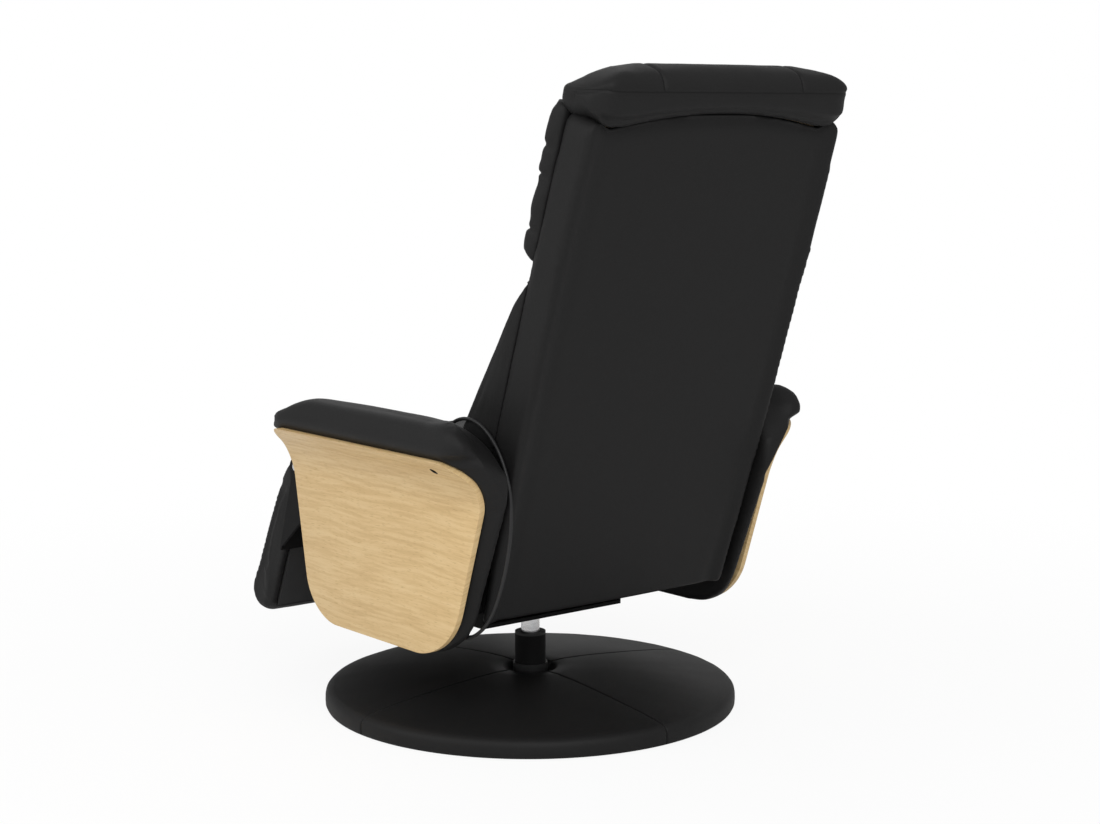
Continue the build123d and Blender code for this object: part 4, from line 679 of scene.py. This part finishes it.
def control_lead():
    curve = bpy.data.curves.new("control_lead", "CURVE")
    curve.dimensions = "3D"
    curve.bevel_depth = CORD_DIAMETER / 2
    curve.bevel_resolution = 3
    curve.resolution_u = 6
    curve.use_fill_caps = True
    line = curve.splines.new("NURBS")
    line.points.add(len(CORD_ROUTE) - 1)
    for point, place in zip(line.points, CORD_ROUTE):
        point.co = (*place, 1.0)
    line.order_u = 3
    line.use_endpoint_u = True
    lead = bpy.data.objects.new("control_lead", curve)
    bpy.context.scene.collection.objects.link(lead)
    curve.materials.append(FINISHES["cable"])
    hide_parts("control_cord")
    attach(lead, "chair")


def base_disc():
    """Upholstered disc: a spun profile with four seams over its top and rim."""
    profile = (
        (0.0262, 0.0462),
        (0.0365, 0.0464),
        (0.0400, 0.0520),
        (0.0460, 0.0566),
        (0.070, 0.0572),
        (0.110, 0.0552),
        (0.160, 0.0510),
        (0.220, 0.0450),
        (0.270, 0.0392),
        (0.300, 0.0352),
        (0.3180, 0.0318),
        (0.3275, 0.0283),
        (0.3313, 0.0235),
        (0.3324, 0.0180),
        (0.3326, 0.0110),
        (0.3322, 0.0050),
        (0.3306, 0.0018),
        (0.3260, 0.0010),
        (0.3222, 0.0088),
        (0.0262, 0.0210),
    )
    form = bmesh.new()
    points = [form.verts.new((radius, 0, height)) for radius, height in profile]
    edges = [form.edges.new(pair) for pair in zip(points, points[1:] + points[:1])]
    bmesh.ops.spin(
        form,
        geom=points + edges,
        axis=(0, 0, 1),
        cent=(0, 0, 0),
        angle=math.tau,
        steps=BASE_STEPS,
        use_merge=True,
    )
    bmesh.ops.remove_doubles(form, verts=form.verts, dist=1e-5)
    bmesh.ops.recalc_face_normals(form, faces=form.faces)
    for point in form.verts:
        angle = math.atan2(point.co.y, point.co.x)
        radius = math.hypot(point.co.x, point.co.y)
        crowded = angle - SEAM_CROWDING * math.sin(4 * angle) / 4
        point.co.x = radius * math.cos(crowded)
        point.co.y = radius * math.sin(crowded)
    form.normal_update()
    disc = new_piece("base_disc", form)

    def seams(place, normal):
        if normal.z < -0.3 or place.z < 0.003:
            return Vector()
        away = min(abs(place.x), abs(place.y))
        dent = groove(away, 0.0016, 0.0016)
        ripple = noise.noise(place * 26.0) * 0.0004
        return normal * (ripple - dent)

    move_points(disc, seams)
    upholster(disc, "base", ["base_cover"], finish="leather_base")


def soft_copy(name, form, voxel, rounds):
    """An evenly meshed copy of a soft solid, its edges eased."""
    piece = new_piece(name, form)
    even_mesh(piece, voxel)
    relax(piece, rounds)
    return piece


def back_half_width(up):
    """Half the width of the back panel at a height."""
    share = up / BACK_SHOULDER
    taper = BACK_TOP_HALF - BACK_FOOT_HALF
    return BACK_FOOT_HALF + taper * share + BACK_SIDE_BULGE * share * (1 - share)


def back_arch(x):
    """Height of the arched top of the back panel."""
    return BACK_ARCH - BACK_ARCH_RISE * (x / BACK_TOP_HALF) ** 2


def flap_edge(x):
    """Height of the lower edge of the cap's rear flap."""
    return FLAP_EDGE - FLAP_EDGE_RISE * (x / FLAP_HALF) ** 2


def shoulder_lift(x, up):
    """How far the covers rise at the shoulders, into the hollow under the ends of the cap."""
    return Vector((0, 0, 0.017 * ease(abs(x), 0.198, 0.228) * ease(up, 0.690, 0.752)))


def back_shell():
    """Rear panel and side bands in one leather cover, with a soft ridge round the rear edge."""
    form = node_form("side_band_left", "side_band_right")
    for point in form.verts:
        x, out, up = BACK_INVERSE @ point.co
        if out > BAND_REAR:
            point.co = BACK @ Vector((x, BAND_MEETS_PANEL, up))
    form.from_mesh(NODES["back_panel"].data)
    bmesh.ops.remove_doubles(form, verts=form.verts, dist=1e-5)
    shell = soft_copy("back_shell", form, 0.004, 5)

    def dress(place, normal):
        x, out, up = BACK_INVERSE @ place
        facing = max(0.0, (BACK_UNTURN @ normal).y)
        edge = back_half_width(up) - abs(x)
        ridge = groove(edge - 0.007, 0.009, 0.0032)
        under_arch = groove(back_arch(x) - up, 0.014, 0.0025)
        under_flap = groove(flap_edge(x) - 0.008 - up, 0.011, 0.0025)
        sink = groove(edge - 0.027, 0.011, 0.0016) + min(under_arch + under_flap, 0.0045)
        crown = 0.0020 * ease(edge, 0.02, 0.2)
        slack = 0.0005 * noise.noise(Vector((x * 9, up * 5, 0.7)))
        outward = max(0.0, facing_out(normal, x)) * ease(abs(x), 0.222, 0.232)
        shoulder = band(up, 0.50, 0.58, 0.74, 0.77)
        belly = ease(out, -0.058, -0.040) * (0.0024 + 0.0036 * shoulder)
        folds = 0.0006 * noise.noise(Vector((out * 30, up * 22, 3.1)))
        move = normal * (facing * (ridge - sink + crown + slack) + outward * (belly + folds))
        return move + BACK_TURN @ shoulder_lift(x, up)

    move_points(shell, dress)
    covered = ["back_panel", "side_band_left", "side_band_right"]
    upholster(shell, "backrest", covered, slot="leather_panel")


def at_cushion_rear(place):
    """Whether a point is in the rear of a cushion, where it is sewn to the backrest."""
    return (BACK_INVERSE @ place).y > CUSHION_REAR - CUSHION_SEWN


def upper_cushion():
    """Head cushion, sewn across into four soft rolls."""
    cushion = soft_copy("upper_cushion_cover", node_form("upper_cushion"), 0.005, 2)

    def pleat(up):
        return min(abs(up - line) for line in PLEATS)

    def hold(place, normal):
        return 1.0 if at_cushion_rear(place) or pleat((BACK_INVERSE @ place).z) < 0.004 else 0.0

    def reach(place, normal):
        x, out, up = BACK_INVERSE @ place
        free = ease(-out, 0.062, 0.080) * band(up, 0.548, 0.575, 0.755, 0.786)
        return 0.0004 + free * (0.005 + 0.009 * facing_forward(normal))

    swell(cushion, hold, reach)
    finer(cushion)

    def gather(place, normal):
        x, out, up = BACK_INVERSE @ place
        away = pleat(up)
        gathers = noise.noise(Vector((x * 55, up * 12, out * 30))) * groove(away - 0.012, 0.012, 0.0016)
        lumps = 0.0024 * noise.noise(Vector((x * 9, up * 34, out * 24)))
        side = ease(abs(normal.x), 0.3, 0.8)
        filled = side * (groove(away, 0.012, 0.0045) + 0.0025)
        crease = groove(away, 0.0042, 0.0024 + 0.0014 * side)
        move = normal * ease(-out, 0.064, 0.08) * (gathers + lumps + filled - crease)
        return move + BACK_TURN @ (shoulder_lift(x, up) * 1.35)

    move_points(cushion, gather)
    relax(cushion, 6, lambda place: (BACK_INVERSE @ place).z > HEAD_CUSHION_TOP)
    upholster(cushion, "backrest", ["upper_cushion"])


def lumbar_cushion():
    """Lower back cushion between the wings."""
    cushion = soft_copy("lumbar_cushion_cover", node_form("lumbar_cushion"), 0.005, 3)

    def hold(place, normal):
        return 1.0 if at_cushion_rear(place) else 0.0

    def reach(place, normal):
        x, out, up = BACK_INVERSE @ place
        inside = ease(LUMBAR_HALF - abs(x), 0.004, 0.040)
        ends = band(up, 0.180, 0.260, 0.500, 0.538)
        return 0.0004 + 0.012 * inside * ends * ease(-out, 0.062, 0.075)

    swell(cushion, hold, reach)
    finer(cushion)

    def folds(place, normal):
        x, out, up = BACK_INVERSE @ place
        return normal * ease(-out, 0.064, 0.08) * 0.0008 * noise.noise(Vector((x * 14, up * 10, 5.0)))

    move_points(cushion, folds)
    upholster(cushion, "backrest", ["lumbar_cushion"])


def wing(side):
    """Side wing of the lower back."""
    node = "wing_" + side
    pad = soft_copy(node + "_cover", node_form(node), 0.004, 3)

    def hold(place, normal):
        return 1.0 if at_cushion_rear(place) else 0.0

    def fullness(place, normal, outward, forward):
        """Room to swell at the outer side and the front, away from the sewn edge and the foot."""
        x, out, up = BACK_INVERSE @ place
        free = ease(-out, 0.062, 0.075) * ease(up, 0.212, 0.26)
        return free * (outward * max(0.0, facing_out(normal, x)) + forward * facing_forward(normal))

    def reach(place, normal):
        return 0.0003 + fullness(place, normal, 0.0025, 0.005)

    swell(pad, hold, reach)
    finer(pad)

    def folds(place, normal):
        return normal * (fullness(place, normal, 0.002, 0.005) + 0.0006 * noise.noise(place * 24))

    move_points(pad, folds)
    upholster(pad, "backrest", [node])


def headrest_cap():
    """Padded hood over the top of the back, with a flap below its rear seam."""
    cap = soft_copy("headrest_cap_cover", node_form("headrest_cap"), 0.004, 16)

    def seam(x, out, up):
        above = up - CAP_SEAM_HEIGHT - CAP_SEAM_FALL * min(out - CAP_CORNER, 0.0)
        rear = abs(above) if out > CAP_END_SEAM else 1.0
        cross = abs(abs(x) - CAP_CROSS_SEAM) if above > 0 else 1.0
        end = abs(out - CAP_END_SEAM) if above < 0 and abs(x) > CAP_END else 1.0
        return min(rear, cross, end)

    def facing_down(normal):
        return -(BACK_UNTURN @ normal).z

    def open_side(normal):
        """1 on the outside of the cap, 0 underneath it."""
        return 1 - ease(facing_down(normal), 0.1, 0.5)

    def hold(place, normal):
        return 1.0 if facing_down(normal) > 0.5 or seam(*(BACK_INVERSE @ place)) < 0.003 else 0.0

    def reach(place, normal):
        return 0.0003 + 0.004 * open_side(normal)

    swell(cap, hold, reach)
    finer(cap)

    def dress(place, normal):
        x, out, up = BACK_INVERSE @ place
        away = seam(x, out, up)
        end = ease(abs(x), 0.19, 0.245)
        folds = noise.noise(Vector((x * 26, out * 20, up * 40))) * (0.0005 + 0.0016 * end)
        flap = 0.0015 * ease(CAP_SEAM_HEIGHT - up, 0.0, 0.008) * ease(out, -0.01, 0.005)
        brow = 0.016 * ease(abs(x), 0.150, 0.250) * ease(-out, -0.005, 0.070) * ease(up, 0.795, 0.835)
        corner = 0.010 * ease(abs(x), 0.175, 0.245) * ease(-up, -0.812, -0.770) * ease(out, -0.050, -0.015)
        tuck = 0.008 * ease(flap_edge(x) + 0.018 - up, 0.0, 0.018) * ease(out, 0.0, 0.012)
        move = normal * open_side(normal) * (folds - flap - groove(away, 0.0035, 0.0022))
        return move + BACK_TURN @ Vector((0, -tuck, corner - brow))

    move_points(cap, dress)
    upholster(cap, "backrest", ["headrest_cap"], finish="leather_cap")


def rear_bevel(place):
    """Takes the rear outer corner of an arm's cover back, so that the edge of the wood shows behind it."""
    edge = min(BEVEL_LOW + BEVEL_SLOPE * (place.z - BEVEL_LOW_HEIGHT), BEVEL_HIGH)
    past = BEVEL_ACROSS * abs(place.x) + BEVEL_BACK * place.y - edge
    near = band(place.z, 0.365, 0.385, 0.460, 0.474) * ease(place.y, 0.225, 0.240)
    back = max(0.0, past) * near
    return Vector((-BEVEL_ACROSS * back * math.copysign(1, place.x), -BEVEL_BACK * back, 0))


def hem_lift(place):
    """How far the lower edges of an arm and its wood are raised."""
    return Vector((0, 0, HEM_LIFT * ease(-place.z, -0.235, -0.140)))


def in_board_space(place):
    """Whether a point of an arm belongs to the hollow round its inner board."""
    sizes = (abs(place.x), place.y, place.z)
    return all(low < size < high for size, (low, high) in zip(sizes, BOARD_SPACE))


def arm(side):
    """Upholstered arm with a thick rolled top, solid where the inner board and its bolts lie."""
    node = "arm_pad_" + side
    form = node_form(node)
    inside = [point for point in form.verts if in_board_space(point.co)]
    bmesh.ops.delete(form, geom=inside, context="VERTS")
    bmesh.ops.holes_fill(form, edges=form.edges, sides=0)
    pad = soft_copy(node + "_cover", form, 0.005, 8)
    relax(pad, 18, lambda place: place.z > 0.44)

    def on_wood(place, normal):
        """1 where the pad lies against the bentwood panel."""
        outward = facing_out(normal, place.x)
        return ease(outward, 0.1, 0.5) * ease(-place.z, -0.475, -0.455) * ease(-place.y, -0.262, -0.240)

    def hold(place, normal):
        return 1.0 if place.z < 0.40 and place.y < 0.2 or on_wood(place, normal) > 0.5 else 0.0

    def reach(place, normal):
        inward = max(0.0, -facing_out(normal, place.x))
        free = ease(place.z, 0.42, 0.46) * ease(-place.y, -0.27, -0.22)
        return 0.0003 + 0.005 * free * (1 - on_wood(place, normal)) * (1 - 0.8 * inward)

    swell(pad, hold, reach)
    finer(pad)

    def dress(place, normal):
        folds = 0.0007 * noise.noise(Vector((place.x * 16, place.y * 11, place.z * 18)))
        outward = max(0.0, facing_out(normal, place.x)) + 0.3 * max(0.0, -normal.y)
        brim = band(place.z, 0.446, 0.458, 0.470, 0.495) * min(outward, 1.0)
        behind = max(0.0, 0.6 * normal.y + 0.6 * normal.z)
        rear_end = ease(place.z, 0.462, 0.485) * ease(place.y, 0.180, 0.235)
        roll = behind * rear_end * ease(abs(place.x), 0.295, 0.325)
        nose = ease(-place.y, 0.180, 0.222) * ease(normal.z, 0.25, 0.75)
        tip = ease(-place.y, 0.190, 0.218) * band(place.z, 0.438, 0.446, 0.456, 0.466)
        front = band(place.z, 0.330, 0.370, 0.420, 0.445) * ease(-normal.y, 0.4, 0.8)
        slack = (1 - on_wood(place, normal)) * folds + 0.004 * brim + 0.009 * roll + 0.006 * nose
        forward = Vector((0, -0.005 * tip - 0.004 * front, 0))
        return normal * slack + forward + rear_bevel(place) + hem_lift(place)

    move_points(pad, dress)
    upholster(pad, "chair", [node])


def wood_panel(side):
    """Bentwood side panel with its edges broken."""
    node = "arm_panel_" + side
    form = node_form(node)
    bmesh.ops.dissolve_limit(form, angle_limit=math.radians(1), verts=form.verts, edges=form.edges)
    edges = [edge for edge in form.edges if edge.calc_face_angle(0.0) > math.radians(40)]
    bmesh.ops.bevel(
        form,
        geom=edges,
        offset=0.0016,
        affect="EDGES",
        segments=3,
        profile=0.5,
        material=-1,
        clamp_overlap=True,
    )
    bmesh.ops.recalc_face_normals(form, faces=form.faces)
    for point in form.verts:
        point.co += hem_lift(point.co)
    panel = new_piece("wood_panel_" + side, form)
    for face in panel.data.polygons:
        face.use_smooth = True
    panel.data.set_sharp_from_angle(angle=math.radians(24))
    panel.data.materials.clear()
    panel.data.materials.append(FINISHES["oak"])
    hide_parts(node)
    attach(panel, "chair")


def on_seat(x, y):
    """Distance from the hand control and its cord where they lie on the seat."""
    across = max(abs(x - HANDSET[0]) - HANDSET_HALF[0], 0)
    along = max(abs(y - HANDSET[1]) - HANDSET_HALF[1], 0)
    lying = [
        Vector(place[:2])
        for place in CORD_ROUTE
        if place[2] > CORD_ON_SEAT_Z and place[1] < CORD_ON_SEAT_Y
    ]
    return min([math.hypot(across, along)] + [(Vector((x, y)) - place).length for place in lying])


def seat_cushion():
    """Seat cushion with a crowned top, pressed in a little under the hand control."""
    cushion = soft_copy("seat_cushion_cover", node_form("seat_cushion"), 0.006, 3)

    def hold(place, normal):
        return 1.0 if place.z < 0.351 else 0.0

    def reach(place, normal):
        upward = max(0.0, normal.z)
        free = ease(on_seat(place.x, place.y), 0.010, 0.060)
        return 0.0003 + 0.002 * (1 - upward) + 0.013 * upward * free

    swell(cushion, hold, reach)
    finer(cushion)

    def folds(place, normal):
        free = ease(on_seat(place.x, place.y), 0.010, 0.060)
        return normal * free * max(0.0, normal.z) * 0.001 * noise.noise(place * 11)

    move_points(cushion, folds)
    upholster(cushion, "chair", ["seat_cushion"])


def in_front_of_board(place):
    """Distance of a footrest point from the board behind it."""
    forward = (place.y - FOOT_BOARD[0]) * FOOT_BOARD_FRONT[0]
    upward = (place.z - FOOT_BOARD[1]) * FOOT_BOARD_FRONT[1]
    return forward + upward


def footrest_pad():
    """Padded leg rest, fuller at its upper edge, its shin side and its lower end."""
    pad = soft_copy("footrest_pad_cover", node_form("footrest_pad"), 0.005, 3)

    def hold(place, normal):
        return 1.0 if in_front_of_board(place) < 0.006 else 0.0

    def reach(place, normal):
        free = ease(in_front_of_board(place), 0.006, 0.035)
        return 0.0003 + free * (0.003 + 0.007 * (1 - abs(normal.x)))

    swell(pad, hold, reach)
    finer(pad)

    def folds(place, normal):
        depth = in_front_of_board(place)
        crease = ease(depth, 0.01, 0.03) * 0.0007 * noise.noise(place * 15)
        brow = 0.009 * ease(place.z, 0.315, 0.365) * ease(depth, 0.004, 0.02)
        toe = 0.003 * ease(-place.z, -0.2, -0.13) * ease(depth, 0.004, 0.02)
        shin = 0.0045 * max(0.0, -normal.y) * ease(depth, 0.015, 0.035)
        return normal * (crease + max(brow, shin) + toe)

    move_points(pad, folds)
    upholster(pad, "footrest", ["footrest_pad"])


camera()
studio()
control_lead()
base_disc()
back_shell()
headrest_cap()
upper_cushion()
lumbar_cushion()
seat_cushion()
footrest_pad()
for hand in ("left", "right"):
    wood_panel(hand)
    wing(hand)
    arm(hand)
